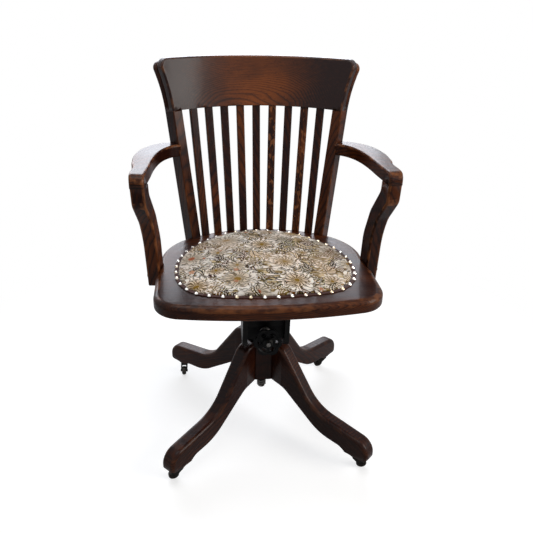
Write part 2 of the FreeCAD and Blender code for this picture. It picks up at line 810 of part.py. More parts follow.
def yoke():
    """The cast yoke: a sleeve on the spindle's journal, a beam, two arms up to the pivot and two lugs in front."""
    made = new_body("yoke")
    height = PIVOT
    boss = S.pivot_boss
    half = S.yoke_depth / 2
    beam = SLEEVE_TOP - S.yoke_beam
    feature(made, "Pad", sketch(made, "XY_Plane", [circle(0, 0, S.yoke_sleeve_radius)], SLEEVE_BOTTOM), "Sizes.yoke_sleeve")
    bar = rectangle(-S.yoke_half_width, beam, S.yoke_half_width, SLEEVE_TOP, 2)
    feature(made, "Pad", sketch(made, "XZ_Plane", bar), "Sizes.yoke_depth", both=True)
    horn = S.stop_reach
    step = TILT_STOP - height
    shoulder = -math.sqrt(boss**2 - step**2)
    side = [
        line((-half, beam), (half, beam)),
        line((half, beam), (boss, height)),
        arc((boss, height), (boss * 0.6, height + boss * 0.8), (shoulder, TILT_STOP)),
        line((shoulder, TILT_STOP), (-horn, TILT_STOP)),
        line((-horn, TILT_STOP), (-horn, TILT_STOP - 10)),
        line((-horn, TILT_STOP - 10), (-half, beam)),
    ]
    arm = sketch(made, "YZ_Plane", side, S.yoke_half_width - S.yoke_arm)
    arms = [feature(made, "Pad", arm, "Sizes.yoke_arm")]
    root = -S.spindle_collar_radius - 1
    under = (S.trunnion_y, TRUNNION - S.eye_radius)
    nose = (S.trunnion_y - S.eye_radius, TRUNNION)
    over = (S.trunnion_y, TRUNNION + S.eye_radius)
    top = SLEEVE_BOTTOM + S.yoke_sleeve * 0.7
    lug = [line((root, SLEEVE_BOTTOM), under), arc(under, nose, over), line(over, (root, top))]
    lug.append(line((root, top), (root, SLEEVE_BOTTOM)))
    lugs = sketch(made, "YZ_Plane", lug, S.eye_width / 2 + S.swivel_gap)
    arms.append(feature(made, "Pad", lugs, "Sizes.lug_thickness"))
    mirrored(made, arms)
    bore = sketch(made, "XY_Plane", [circle(0, 0, S.journal_radius + S.running_gap)], SLEEVE_BOTTOM)
    feature(made, "Pocket", bore, "Sizes.yoke_sleeve", away=True)
    pivot = sketch(made, "YZ_Plane", [circle(0, height, S.pivot_pin_radius + S.running_gap)])
    feature(made, "Pocket", pivot, "Sizes.yoke_half_width * 3", both=True)
    trunnion = sketch(made, "YZ_Plane", [circle(S.trunnion_y, TRUNNION, S.trunnion_radius)])
    feature(made, "Pocket", trunnion, "Sizes.yoke_half_width", both=True)
    return made


def bar_point(along, aside):
    """A point of the tension bar's side view, along the bolt from its trunnion and square to it."""
    slope = math.radians(S.bolt_slope)
    y = S.trunnion_y - along * math.cos(slope) + aside * math.sin(slope)
    z = TRUNNION + along * math.sin(slope) + aside * math.cos(slope)
    return (y, z, 0)


def bar_outline(half_length, half_height):
    middle = S.bar_at
    corners = []
    for along, aside in ((-1, -1), (1, -1), (1, 1), (-1, 1)):
        corners.append(bar_point(middle + along * half_length, aside * half_height))
    return polygon(*corners)


def seat_iron():
    """The cast seat iron: a rail and a deep cheek each side, a web in front, and a wall on the slotted tension bar."""
    made = new_body("iron_casting")
    low = PIVOT - S.cheek_below_pivot
    outer = S.rail_front * 0.52
    cheek = polygon(
        (40, RAIL_BOTTOM, 0),
        (24, PIVOT - 16, 20),
        (-38, low, 26),
        (-92, low, 30),
        (-99, low + 52, 30),
        (-outer, RAIL_BOTTOM, 0),
    )
    halves = [feature(made, "Pad", sketch(made, "YZ_Plane", cheek, CHEEK_IN), "Sizes.cheek_thickness")]
    rail = rectangle(CHEEK_IN, -S.rail_front, CHEEK_IN + S.rail_width, S.rail_rear, 5)
    halves.append(feature(made, "Pad", sketch(made, "XY_Plane", rail, RAIL_BOTTOM), "Sizes.rail_thickness"))
    rib = polygon(
        (-S.rail_front + 6, RAIL_BOTTOM, 0),
        (-S.rail_front + 12, RAIL_BOTTOM - 7, 3),
        (-outer, RAIL_BOTTOM - 18, 0),
        (40, RAIL_BOTTOM - 14, 0),
        (S.rail_rear - 6, RAIL_BOTTOM - 4, 2),
        (S.rail_rear - 4, RAIL_BOTTOM, 0),
    )
    halves.append(feature(made, "Pad", sketch(made, "YZ_Plane", rib, CHEEK_IN), "Sizes.cheek_thickness"))
    boss = sketch(made, "YZ_Plane", [circle(0, PIVOT, S.pivot_boss)], CHEEK_IN)
    halves.append(feature(made, "Pad", boss, "Sizes.cheek_thickness + 3"))
    stop = rectangle(-S.stop_reach - 2, TILT_STOP + S.swivel_gap, -S.pivot_boss - 4, RAIL_BOTTOM)
    lug = sketch(made, "YZ_Plane", stop, S.yoke_half_width - S.yoke_arm + 2)
    halves.append(feature(made, "Pad", lug, "Sizes.yoke_arm + Sizes.cheek_gap"))
    mirrored(made, halves)
    web = polygon(
        (-outer, RAIL_BOTTOM, 0),
        (-outer + 8, RAIL_BOTTOM, 0),
        (-outer + 10, RAIL_BOTTOM - 34, 3),
        (-outer + 3, RAIL_BOTTOM - 34, 3),
    )
    feature(made, "Pad", sketch(made, "YZ_Plane", web), f"{2 * CHEEK_IN}", both=True)
    near = bar_point(S.bar_at - S.bar_thickness / 2 + 2, S.bar_half_height - 2)
    far = bar_point(S.bar_at + S.bar_thickness / 2, S.bar_half_height - 2)
    top = far[0] + S.wall_thickness / 2
    wall = polygon(near, far, (top - S.wall_thickness, RAIL_BOTTOM, 0), (top, RAIL_BOTTOM, 0))
    feature(made, "Pad", sketch(made, "YZ_Plane", wall), f"{2 * CHEEK_IN}", both=True)
    bar = bar_outline(S.bar_thickness / 2, S.bar_half_height)
    feature(made, "Pad", sketch(made, "YZ_Plane", bar), f"{2 * CHEEK_IN}", both=True)
    slot = bar_outline(S.bar_thickness, S.bar_slot_half_height)
    feature(made, "Pocket", sketch(made, "YZ_Plane", slot), "2 * Sizes.bar_slot_half_width", both=True)
    pin = sketch(made, "YZ_Plane", [circle(0, PIVOT, S.pivot_pin_radius)])
    feature(made, "Pocket", pin, f"{3 * CHEEK_OUT}", both=True)
    return made


def iron_screw_places():
    """Three screws through each rail, heads down."""
    places = []
    for side in (-1, 1):
        for share in (0.06, 0.34, 0.92):
            y = -S.rail_front + share * (S.rail_front + S.rail_rear)
            x = side * (CHEEK_IN + S.rail_width - 4.9)
            spot = Vector(x, y + S.axis_y, RAIL_BOTTOM)
            places.append(Placement(spot, Rotation(Vector(1, 0, 0), 180)))
    return places


# Tension unit, each piece turned about Z and laid on the bolt


def tension_bolt():
    """The bolt, with an eye that hangs on the trunnion pin."""
    stem = doc.addObject("Part::Cylinder", "bolt_stem")
    stem.setExpression("Radius", "Sizes.bolt_radius")
    stem.setExpression("Height", "Sizes.bolt_length")
    here = Placement()
    eye = across("bolt_eye", here, "Sizes.eye_radius", "Sizes.eye_width", Vector(0, 0, 0), along_y=False)
    hole = across("bolt_hole", here, "Sizes.trunnion_radius + Sizes.running_gap", "Sizes.eye_width * 2", Vector(0, 0, 0), along_y=False)
    whole = doc.addObject("Part::MultiFuse", "bolt_blank")
    whole.Shapes = [stem, eye]
    made = cut("tension_bolt", whole, hole)
    made.Placement = on_bolt(0)
    return made


def spring_line():
    """The spring's centre line: a helix with closed ends, as pairs of tangent arcs along each quarter turn."""
    end_pitch = S.spring_wire + 0.75
    closed = 0.8
    length = S.cup_at + S.cup_pocket - S.bar_at - S.bar_thickness / 2 - 2 * S.spring_wire * 0.36
    open_pitch = (length - 2 * closed * end_pitch) / (S.spring_turns - 2 * closed)

    def rise(turns):
        if turns < closed:
            return end_pitch * turns
        if turns > S.spring_turns - closed:
            return length - end_pitch * (S.spring_turns - turns)
        return end_pitch * closed + open_pitch * (turns - closed)

    def point(turns):
        angle = 2 * math.pi * turns
        return Vector(S.spring_mean_radius * math.cos(angle), S.spring_mean_radius * math.sin(angle), rise(turns))

    def heading(turns):
        angle = 2 * math.pi * turns
        step = 0.01
        climb = (rise(turns + step) - rise(turns - step)) / (2 * step)
        around = 2 * math.pi * S.spring_mean_radius
        return Vector(-math.sin(angle) * around, math.cos(angle) * around, climb).normalize()

    edges = []
    count = int(S.spring_turns * 2)
    for number in range(count):
        start = number / 2
        edges += biarc(point(start), heading(start), point(start + 0.5), heading(start + 0.5))
    return edges, length


def biarc(start, leaving, end, arriving):
    """Two arcs that leave start and arrive at end along the given directions, and meet in tangent."""
    across_line = end - start
    total = leaving + arriving
    spread = 2 * (1 - leaving.dot(arriving))
    reach = (-across_line.dot(total) + math.sqrt(across_line.dot(total) ** 2 + spread * across_line.Length**2)) / spread
    first = start + leaving * reach
    second = end - arriving * reach
    meeting = (first + second) / 2
    arcs = []
    for low, knee, high in ((start, first, meeting), (meeting, second, end)):
        chord = high - low
        middle = (low + high) / 2
        bend = (knee - low).getAngle(chord)
        sagitta = chord.Length / 2 * math.tan(bend / 2)
        arcs.append(Part.Arc(low, middle + (knee - middle).normalize() * sagitta, high).toShape())
    return arcs


def wire_section(start, heading):
    """The spring wire's section, eight-sided, square to its first direction."""
    turn = Rotation(Vector(0, 0, 1), heading)
    points = []
    for number in range(9):
        angle = math.radians(22.5 + 45 * number)
        flat = Vector(S.spring_wire / 2 * math.cos(angle), S.spring_wire / 2 * math.sin(angle), 0)
        points.append(start + turn.multVec(flat))
    return Part.makePolygon(points)


def tension_spring():
    """The compression spring between the seat iron's bar and the cup, with its ends ground flat."""
    edges, length = spring_line()
    path = Part.Wire(edges)
    section = wire_section(edges[0].Vertexes[0].Point, edges[0].tangentAt(edges[0].FirstParameter))
    tube = path.makePipeShell([section], True, False)
    room = 2 * S.cup_radius
    trim = S.spring_wire * 0.36
    slab = Part.makeBox(room, room, length + 2 * trim, Vector(-room / 2, -room / 2, -trim))
    made = doc.addObject("Part::Feature", "tension_spring")
    made.Shape = tube.common(slab)
    made.Placement = on_bolt(S.bar_at + S.bar_thickness / 2 + trim)
    print_spring_gap(edges)
    return made


def print_spring_gap(edges):
    """The least gap between the spring's turns, measured on points that lie more than half a turn apart."""
    spots = [point for edge in edges for point in edge.discretize(7)[:-1]]
    apart = len(spots) / S.spring_turns / 2
    least = min(
        (spots[a] - spots[b]).Length
        for a in range(len(spots))
        for b in range(a + int(apart), len(spots))
    )
    print(f"spring gap {least - S.spring_wire:.2f} mm")


def spring_cup():
    """The cup that the spring's front end sits in and the hand wheel bears on."""
    made = new_body("spring_cup")
    bore = S.bolt_radius + S.cup_play
    outline = polygon(
        (S.cup_pocket_radius, 0, 0),
        (S.cup_radius, 0, 0),
        (S.cup_radius, S.cup_length, -2.5),
        (bore, S.cup_length, 0),
        (bore, S.cup_pocket, 0),
        (S.cup_pocket_radius, S.cup_pocket, 0),
    )
    revolve(made, outline)
    made.Placement = on_bolt(S.cup_at)
    return made


def lobed(radius, valley, lobes):
    """A rosette's outline: a full arc for each lobe and a short one for each valley."""
    def spot(angle, reach):
        turn = math.radians(angle)
        return (reach * math.cos(turn), reach * math.sin(turn))

    step = 360 / lobes
    narrow = step * 0.11
    curves = []
    for number in range(int(lobes)):
        middle = number * step
        edge = (radius + 2 * valley) / 3
        start = spot(middle - step / 2 + narrow, edge)
        end = spot(middle + step / 2 - narrow, edge)
        curves.append(arc(start, spot(middle, radius), end))
        curves.append(arc(end, spot(middle + step / 2, valley), spot(middle + step / 2 + narrow, edge)))
    return curves


def tension_wheel():
    """The cast rosette wheel: six lobes with a bead round the rim, six petal openings and a threaded boss."""
    made = new_body("tension_wheel")
    bore = S.bolt_radius + S.running_gap
    rim = S.wheel_radius
    outline = polygon(
        (bore, 0, 0),
        (S.wheel_hub_radius, 0, 0),
        (S.wheel_hub_radius + 1, S.wheel_web_at, 0),
        (rim * 0.72, S.wheel_web_at, 0),
        (rim * 0.76, 0.5, 0),
        (rim + 2, 0.5, 0),
        (rim + 2, S.wheel_rim, 0),
        (rim * 0.78, S.wheel_rim, 3),
        (rim * 0.72, S.wheel_web_at + S.wheel_web, 0),
        (S.wheel_hub_radius + 1, S.wheel_web_at + S.wheel_web, 0),
        (S.wheel_hub_radius, S.wheel_thickness, -3),
        (bore, S.wheel_thickness, 0),
    )
    revolve(made, outline)
    waste = lobed(rim, rim * 0.86, S.wheel_petals) + [circle(0, 0, rim + 6)]
    feature(made, "Pocket", sketch(made, "XY_Plane", waste, -1), "Sizes.wheel_rim + 2", away=True)
    inner = S.wheel_hub_radius + 1.8
    outer = rim * 0.73
    widest = inner + (outer - inner) * 0.6
    petal = []
    for side in (-1, 1):
        petal.append(arc((inner, 0), (widest, side * S.wheel_petal_radius), (outer, 0)))
    opening = feature(made, "Pocket", sketch(made, "XY_Plane", petal), "Sizes.wheel_rim", away=True)
    pattern(made, [opening], S.wheel_petals)
    made.Placement = on_bolt(S.cup_at + S.cup_length + S.thrust_gap)
    return made


# Seat


def seat_board():
    """The seat: a bowed front between two ears, straight sides, a round back and a rolled edge."""
    made = new_body("seat_board")
    front = S.seat_half_front
    side = S.seat_half_side
    ear = -S.seat_ear_rear - S.seat_ear_length
    front_y = -S.seat_front + S.seat_front_bow
    rear_middle = S.seat_rear - S.seat_rear_radius
    rear_y = rear_middle + math.sqrt(S.seat_rear_radius**2 - side**2)
    shoulder = S.seat_ear_rear
    right = [
        ((front, front_y), (front, ear)),
        ((front, ear), (side, -shoulder)),
        ((side, -shoulder), (side, rear_y)),
    ]
    outline = [arc((-front, front_y), (0, -S.seat_front), (front, front_y))]
    outline.append(arc((side, rear_y), (0, S.seat_rear), (-side, rear_y)))
    for start, end in right:
        outline.append(line(start, end))
        outline.append(line((-end[0], end[1]), (-start[0], start[1])))
    feature(made, "Pad", sketch(made, "XY_Plane", outline, SEAT_BOTTOM), "Sizes.seat_thickness")

    def upright_at(y, slack=1.0):
        def test(edge):
            middle = edge.CenterOfMass
            return edge.BoundBox.ZLength > S.seat_thickness - 1 and abs(middle.y - y) < slack
        return test

    round_edges(made, upright_at(front_y), "Sizes.seat_front_corner")
    round_edges(made, upright_at(rear_y), "Sizes.seat_rear_corner")
    round_edges(made, upright_at(ear), "Sizes.seat_ear_round")
    round_edges(made, upright_at(-shoulder), "Sizes.seat_ear_round")

    def at_height(height):
        return lambda edge: abs(edge.BoundBox.ZMin - height) < 0.01 and abs(edge.BoundBox.ZMax - height) < 0.01

    round_edges(made, at_height(S.seat_height), "Sizes.seat_top_round")
    round_edges(made, at_height(SEAT_BOTTOM), "Sizes.seat_bottom_round")
    return made


def nail_line(inset=0.0):
    """The closed line of the nails, or a line inside it: flat in front, and round behind."""
    wide = S.pad_half_width
    rear = S.pad_rear
    front = -S.pad_front
    right = [(0.47, 0.85 * rear), (0.81, 0.47 * rear), (0.963, 0.13 * rear), (1, 0.24 * front), (0.967, 0.53 * front)]
    right += [(0.877, 0.734 * front), (0.76, 0.862 * front), (0.6, 0.93 * front), (0.28, 0.984 * front)]
    points = [Vector(0, rear, 0)] + [Vector(wide * x, y, 0) for x, y in right]
    points += [Vector(0, front, 0)] + [Vector(-wide * x, y, 0) for x, y in reversed(right)]
    curve = Part.BSplineCurve()
    curve.interpolate(points, PeriodicFlag=True)
    inner = []
    for point in points:
        heading = curve.tangent(curve.parameter(point))[0]
        inner.append(point + Vector(heading.y, -heading.x, 0) * inset)
    line_in = Part.BSplineCurve()
    line_in.interpolate(inner, PeriodicFlag=True)
    return line_in


def gimp():
    """The flat braid that covers the pad's tacked edge."""
    made = new_body("pad_gimp")
    band = sketch(made, "XY_Plane", [nail_line(-S.gimp_outside), nail_line(S.gimp_inside)], S.seat_height)
    feature(made, "Pad", band, "Sizes.gimp_thickness")
    return made


def seat_pad():
    """The stuffed pad, crowned over the seat and drawn down at its edge."""
    block = new_body("pad_block")
    outline = sketch(block, "XY_Plane", [nail_line(S.gimp_inside)], S.seat_height)
    feature(block, "Pad", outline, "Sizes.pad_crown + 10")
    crown = doc.addObject("Part::Sphere", "pad_crown")
    crown.setExpression("Radius", "Sizes.pad_crown_radius")
    crown.Placement = Placement(Vector(0, S.axis_y, S.seat_height + S.pad_crown - S.pad_crown_radius), Rotation())
    stuffed = doc.addObject("Part::Common", "pad_stuffed")
    stuffed.Base = block
    stuffed.Tool = crown
    doc.recompute()
    return soften("seat_pad", stuffed, lambda edge: edge.BoundBox.ZMin > S.seat_height + 1, S.pad_edge_round)


def soften(name, base, test, radius):
    """Rounds the edges of a finished solid that pass the test."""
    made = doc.addObject("Part::Fillet", name)
    made.Base = base
    made.Edges = [(i, radius, radius) for i, edge in enumerate(base.Shape.Edges, 1) if test(edge)]
    doc.recompute()
    return made


def nails():
    """The dome nails, spaced evenly along the gimp."""
    spots = nail_line().discretize(Number=int(S.nail_count) + 1)[:-1]
    rings = []
    for radius, height in ((S.nail_radius, 0.0), (S.nail_radius * 0.82, 0.5), (S.nail_radius * 0.4, 0.92)):
        points = []
        for number in range(9):
            angle = 2 * math.pi * number / 8
            points.append(Vector(radius * math.cos(angle), radius * math.sin(angle), height * S.nail_rise))
        rings.append(Part.makePolygon(points))
    dome = Part.makeLoft(rings, True, True)
    solids = []
    for spot in spots:
        solids.append(dome.translated(spot + Vector(0, 0, S.seat_height + S.gimp_thickness)))
    return fixed("pad_nails", Part.makeCompound(solids))


# Back


def slat(number):
    """A flat slat, turned to face the middle of the back."""
    seat_angle = S.slat_step_seat * number
    crest_angle = S.slat_step_crest * number
    middle = S.slat_setback + S.slat_thickness / 2
    ends = []
    for height in (S.seat_height - S.slat_housing, CREST_BOTTOM + S.slat_housing):
        ends.append(back_point(fan(seat_angle, crest_angle, height), height, middle))
    made = new_body(f"slat_{number + int(S.slat_count // 2) + 1}")
    half = S.slat_width / 2
    side = S.slat_thickness / 2
    outline = sketch(made, "XY_Plane", rectangle(-half, -side, half, side, 2.5))
    feature(made, "Pad", outline, f"{(ends[1] - ends[0]).Length}")
    made.Placement = upright(ends[0], ends[1], (seat_angle + crest_angle) / 2)
    return made


def post_run(side):
    """The post's lower end, its bend at the crest, the run between them and the rise above."""
    low = S.seat_height - S.post_tenon
    ends = []
    for height in (low, CREST_BOTTOM):
        angle = fan(S.post_angle_seat, S.post_angle_crest, height)
        ends.append(back_point(side * angle, height, S.post_setback))
    run = (ends[1] - ends[0]).Length
    rise = run * (POST_TOP - CREST_BOTTOM) / (CREST_BOTTOM - low)
    place = upright(ends[0], ends[1], side * S.post_turn)
    return place, run, rise


def flare(edge, side, run, rise, beyond=0.0):
    """One edge of the post's face: straight to the crest, then bending outwards."""
    radius = (rise**2 + S.post_flare**2) / (2 * S.post_flare)

    def bend(height):
        return (edge + side * (radius - math.sqrt(radius**2 - height**2)), run + height)

    return [line((edge, 0), (edge, run)), arc((edge, run), bend((rise + beyond) / 2), bend(rise + beyond))]


def post(name, side):
    """A back post: straight to the crest, then bending outwards behind its end. side is 1 on the right."""
    place, run, rise = post_run(side)
    half = S.post_width / 2
    inner = flare(-half, side, run, rise)
    outer = flare(half, side, run, rise)
    outline = inner + outer
    outline.append(line((-half, 0), (half, 0)))
    outline.append(line((-half + side * S.post_flare, run + rise), (half + side * S.post_flare, run + rise)))
    made = new_body(name + "_blank")
    feature(made, "Pad", sketch(made, "XZ_Plane", outline), "Sizes.post_depth", away=True)

    def corner(edge):
        return edge.BoundBox.ZMin > run + rise - 0.01 and side * edge.BoundBox.Center.x > half + S.post_flare - 1

    round_edges(made, corner, "Sizes.post_corner")
    round_edges(made, lambda edge: edge.BoundBox.ZLength > rise / 2, "Sizes.post_round")
    made.Placement = place
    return made


def crest_trim(name, side):
    """What the crest's end is cut off by: everything outside the post's outer side."""
    place, run, rise = post_run(side)
    edge = side * S.post_width / 2
    reach = CREST_TOP - POST_TOP + 30
    outer = flare(edge, side, run, rise, reach)
    top = outer[1].EndPoint
    far = edge + side * 120
    outline = outer + [line((top.x, top.y), (far, top.y)), line((far, top.y), (far, 0)), line((far, 0), (edge, 0))]
    made = new_body(name)
    feature(made, "Pad", sketch(made, "XZ_Plane", outline), "Sizes.back_radius", both=True)
    made.Placement = place
    return made


def flat_sketch(name, curves, place):
    made = doc.addObject("Sketcher::SketchObject", name)
    for curve in curves:
        made.addGeometry(curve, False)
    made.Placement = place
    doc.recompute()
    return made


def crest_blank():
    """The crest as it is sawn: a curved rail that leans as the back does, arched below and straight on top."""
    low = CREST_BOTTOM - 20
    middle = back_point(0, low).y - S.back_radius
    turn = math.radians(S.post_angle_crest + 16)
    curves = []
    ends = []
    for radius in (S.back_radius, S.back_radius + S.crest_thickness):
        x = radius * math.sin(turn)
        y = middle + radius * math.cos(turn)
        curves.append(arc((-x, y), (0, middle + radius), (x, y)))
        ends.append((x, y))
    curves.append(line(*ends))
    curves.append(line((-ends[0][0], ends[0][1]), (-ends[1][0], ends[1][1])))
    plan = flat_sketch("crest_plan", curves, Placement(Vector(0, S.axis_y, low), Rotation()))
    bent = doc.addObject("Part::Extrusion", "crest_bent")
    bent.Base = plan
    bent.DirMode = "Custom"
    bent.Dir = Vector(0, S.back_rake, 1)
    bent.Solid = True
    bent.LengthFwd = (CREST_TOP + 20 - low) * math.sqrt(1 + S.back_rake**2)
    face = new_body("crest_face")
    wide = S.back_radius
    under = arc((-wide, CREST_BOTTOM), (0, CREST_BOTTOM + S.crest_arch), (wide, CREST_BOTTOM))
    outline = [under, line((-wide, CREST_BOTTOM), (-wide, CREST_TOP)), line((wide, CREST_BOTTOM), (wide, CREST_TOP))]
    outline.append(line((-wide, CREST_TOP), (wide, CREST_TOP)))
    feature(face, "Pad", sketch(face, "XZ_Plane", outline), "Sizes.back_radius * 3", both=True)
    blank = doc.addObject("Part::Common", "crest_blank")
    blank.Base = bent
    blank.Tool = face
    doc.recompute()
    return cut("crest_trimmed", blank, crest_trim("crest_trim_left", -1), crest_trim("crest_trim_right", 1))


def crest_rounded(rough):
    """The crest with its top corners sawn round and its front and top edges eased."""
    def corner(edge):
        return edge.BoundBox.ZMin > CREST_TOP - 0.01 and edge.Length < 2 * S.crest_thickness

    def eased(edge):
        low, middle, high = (reach_of(point) for point in edge.discretize(3))
        in_front = max(low, middle, high) < S.back_radius + 0.5
        above = edge.BoundBox.ZMin > CREST_TOP - S.crest_corner - 1
        upper = edge.BoundBox.ZMax > CREST_TOP - S.crest_corner - 5
        return upper and (in_front or above) and edge.Length > S.crest_thickness + 1

    cornered = soften("crest_cornered", rough, corner, S.crest_corner)
    return soften("crest_eased", cornered, eased, S.crest_round)


def reach_of(point):
    """How far a point lies from the back's leaning centre line."""
    middle = back_point(0, point.z).y - S.back_radius
    return math.hypot(point.x, point.y - S.axis_y - middle)


# Arms


def arm_blank(side):
    """A flat arm: from the post it swings out and forward, steps in, and ends in a nose over its stump."""
    made = new_body("arm_blank_right" if side > 0 else "arm_blank_left")
    inner, outer = (head_corner(side, face) for face in (-1, 1))

    def at(*points):
        return [(side * x, y) for x, y in points]

    rear = [(216, 203), (238, 202), (264, 183.5), (290, 145), (300, 106), (304, 66), (302.5, 32), (301, 12)]
    grip = [(297, -5), (296, -22), (298, -45), (298.5, -66)]
    inside = [(263.5, -58), (260.5, -24), (258.5, 6), (256.5, 38), (253, 70), (246.5, 105), (233, 142), (214, 166), (196, 175)]
    outline = [
        spline(at(*rear, *grip) + [outer]),
        line(outer, inner),
        spline([inner] + at(*inside)),
        line(*at(inside[-1], rear[0])),
    ]
    feature(made, "Pad", sketch(made, "XY_Plane", outline, ARM_BOTTOM), "Sizes.arm_thickness")

    def on_top(edge):
        return edge.BoundBox.ZMin > ARM_TOP - 0.01

    def nosing(edge):
        return on_top(edge) and edge.BoundBox.YMax < inner[1] + S.stump_thickness / 2

    def sides(edge):
        return edge.Length > S.post_depth * 3 and edge.BoundBox.ZMin > ARM_TOP - S.arm_nose_round - 1

    round_edges(made, nosing, "Sizes.arm_nose_round")
    round_edges(made, sides, "Sizes.arm_round")
    return made


def head_corner(side, face):
    """A front corner of the stump's head in plan, at its inner (-1) or outer (1) face."""
    spot = Vector(side * face * S.stump_thickness / 2, -S.stump_reach, ARM_BOTTOM - STUMP_FOOT)
    corner = stump_place(side).multVec(spot)
    return (corner.x, corner.y - S.axis_y)


def stump(side):
    """An S-shaped stump, canted and splayed, from a housing in the seat's side to the arm's front end."""
    made = new_body("stump_blank_right" if side > 0 else "stump_blank_left")
    height = ARM_BOTTOM - STUMP_FOOT
    head = -S.stump_reach
    outline = polygon(
        (-34, 0, 0),
        (-36, height * 0.46, 190),
        (-53, height * 0.64, 60),
        (head, height * 0.845, 30),
        (head, height * 1.04, 0),
        (-49, height * 1.04, 0),
        (-49, height * 0.91, 20),
        (-10, height * 0.68, 70),
        (12, height * 0.42, 110),
        (11, 0, 0),
    )
    feature(made, "Pad", sketch(made, "YZ_Plane", outline), "Sizes.stump_thickness", both=True)
    round_edges(made, lambda edge: edge.BoundBox.XLength < 0.01 and edge.BoundBox.ZLength > 3, "Sizes.stump_round")
    made.Placement = stump_place(side)
    return made


def stump_place(side):
    """The stump's own frame: z runs up its canted middle from the foot, and its front is turned outwards."""
    splay = Rotation(Vector(0, 0, 1), side * S.stump_splay)
    cant = Rotation(Vector(0, 1, 0), side * S.stump_cant)
    return Placement(Vector(side * S.stump_foot_x, S.axis_y, STUMP_FOOT), splay.multiply(cant))


def stump_fixings():
    """The places of two sunk screws through each stump, outer faces at z = 0 of their plugs."""
    places = []
    level = S.stump_below_seat + S.seat_thickness / 2
    for side in (-1, 1):
        for y in (-27, -7):
            spot = Vector(side * S.stump_thickness / 2, y, level)
            places.append(stump_place(side).multiply(Placement(spot, Rotation(Vector(0, 1, 0), side * 90))))
    return places


def plugs(places):
    """The wooden plugs over the stumps' screws."""
    made = []
    for number, place in enumerate(places, 1):
        plug = doc.addObject("Part::Cylinder", f"stump_plug_{number}")
        plug.setExpression("Radius", "Sizes.plug_radius")
        plug.setExpression("Height", "Sizes.plug_depth")
        plug.Placement = place.multiply(Placement(Vector(0, 0, -S.plug_depth), Rotation()))
        made.append(plug)
    group = doc.addObject("Part::Compound", "stump_plugs")
    group.Links = made
    doc.recompute()
    return group


def over_arms():
    """The room above the joint between stump and arm, which trims the canted stumps level."""
    room = doc.addObject("Part::Box", "over_arms")
    room.Length = 4 * S.seat_half_front
    room.Width = 2 * S.seat_half_front
    room.Height = 2 * S.arm_thickness
    room.Placement = Placement(Vector(-room.Length.Value / 2, S.axis_y - room.Width.Value / 2, ARM_BOTTOM), Rotation())
    return room


# Assembly: base

plate_screws = screws(
    "castor_plate_screws", plate_screw_places(), "Sizes.castor_screw_radius * 1.9", "Sizes.castor_screw_radius * 1.1",
    "Sizes.castor_screw_radius", "Sizes.castor_screw_length", sunk=True,
)
node("castor_plate_screws", plate_screws)
for corner in CORNERS:
    plate = castor_plate(corner)
    node("castor_plate_" + corner, cut("castor_plate_" + corner, plate, plate_screws))
    node("leg_" + corner, cut("leg_" + corner, leg(corner), leg_bore(corner), plate_screws))
    node("castor_fork_" + corner, castor_fork(corner))
    node("castor_axle_" + corner, castor_axle(corner))
    node("castor_wheel_" + corner, castor_wheel(corner))
flange_screws = screws(
    "socket_screws", ring_places(S.socket_screw_circle, 4, FLANGE_TOP), "Sizes.socket_screw_radius * 1.9",
    "Sizes.socket_screw_radius", "Sizes.socket_screw_radius", "Sizes.socket_screw_length",
)
node("socket_screws", flange_screws)
node("hub", cut("hub", hub(), flange_screws))
node("hub_socket", cut("hub_socket", socket(), flange_screws))
node("spindle_key", key())

# Assembly: spindle, nut and yoke

node("height_nut", hand_nut())
node("spindle", spindle())
node("spindle_nut", spindle_nut())
node("yoke", yoke())
centre = Placement(Vector(0, S.axis_y, 0), Rotation())
trunnion = Vector(0, S.trunnion_y, TRUNNION)
trunnion_length = f"{S.eye_width + 2 * (S.swivel_gap + S.lug_thickness + 1.5)}"
node("trunnion_pin", across("trunnion_pin", centre, "Sizes.trunnion_radius", trunnion_length, trunnion, along_y=False))

# Assembly: tension unit

node("tension_bolt", tension_bolt())
node("tension_spring", tension_spring())
node("spring_cup", spring_cup())
node("tension_wheel", tension_wheel())

# Assembly: seat and seat iron

rail_screws = screws(
    "seat_iron_screws", iron_screw_places(), "Sizes.iron_screw_radius * 1.85", "Sizes.iron_screw_radius",
    "Sizes.iron_screw_radius", "Sizes.iron_screw_length",
)
node("seat_iron_screws", rail_screws)
node("seat_iron", cut("seat_iron", seat_iron(), rail_screws))
pivot = Vector(0, 0, PIVOT)
pin_half = CHEEK_OUT + 9
bar = across("pin_bar", centre, "Sizes.pivot_pin_radius", f"{2 * pin_half}", pivot, along_y=False)
cotters = []
for side in (-1, 1):
    cotter = doc.addObject("Part::Cylinder", "cotter_right" if side > 0 else "cotter_left")
    cotter.setExpression("Radius", "Sizes.cotter_radius")
    cotter.setExpression("Height", "Sizes.pivot_pin_radius * 3")
    low = PIVOT - S.pivot_pin_radius * 1.5
    cotter.Placement = Placement(Vector(side * (pin_half - 3), S.axis_y, low), Rotation())
    cotters.append(cotter)
pins = doc.addObject("Part::Compound", "pin_cotters")
pins.Links = cotters
doc.recompute()
node("pin_cotters", pins)
node("cross_pin", cut("cross_pin", bar, pins))

# Assembly: back

slats = []
for number in range(-int(S.slat_count // 2), int(S.slat_count // 2) + 1):
    made = slat(number)
    slats.append(made)
    node(made.Name, made)
rough_crest = crest_blank()
posts = {"left": post("post_left", -1), "right": post("post_right", 1)}
node("crest_rail", cut("crest_rail", crest_rounded(rough_crest), *slats))
for name, made in posts.items():
    node("post_" + name, cut("post_" + name, made, rough_crest))

# Assembly: arms and stumps

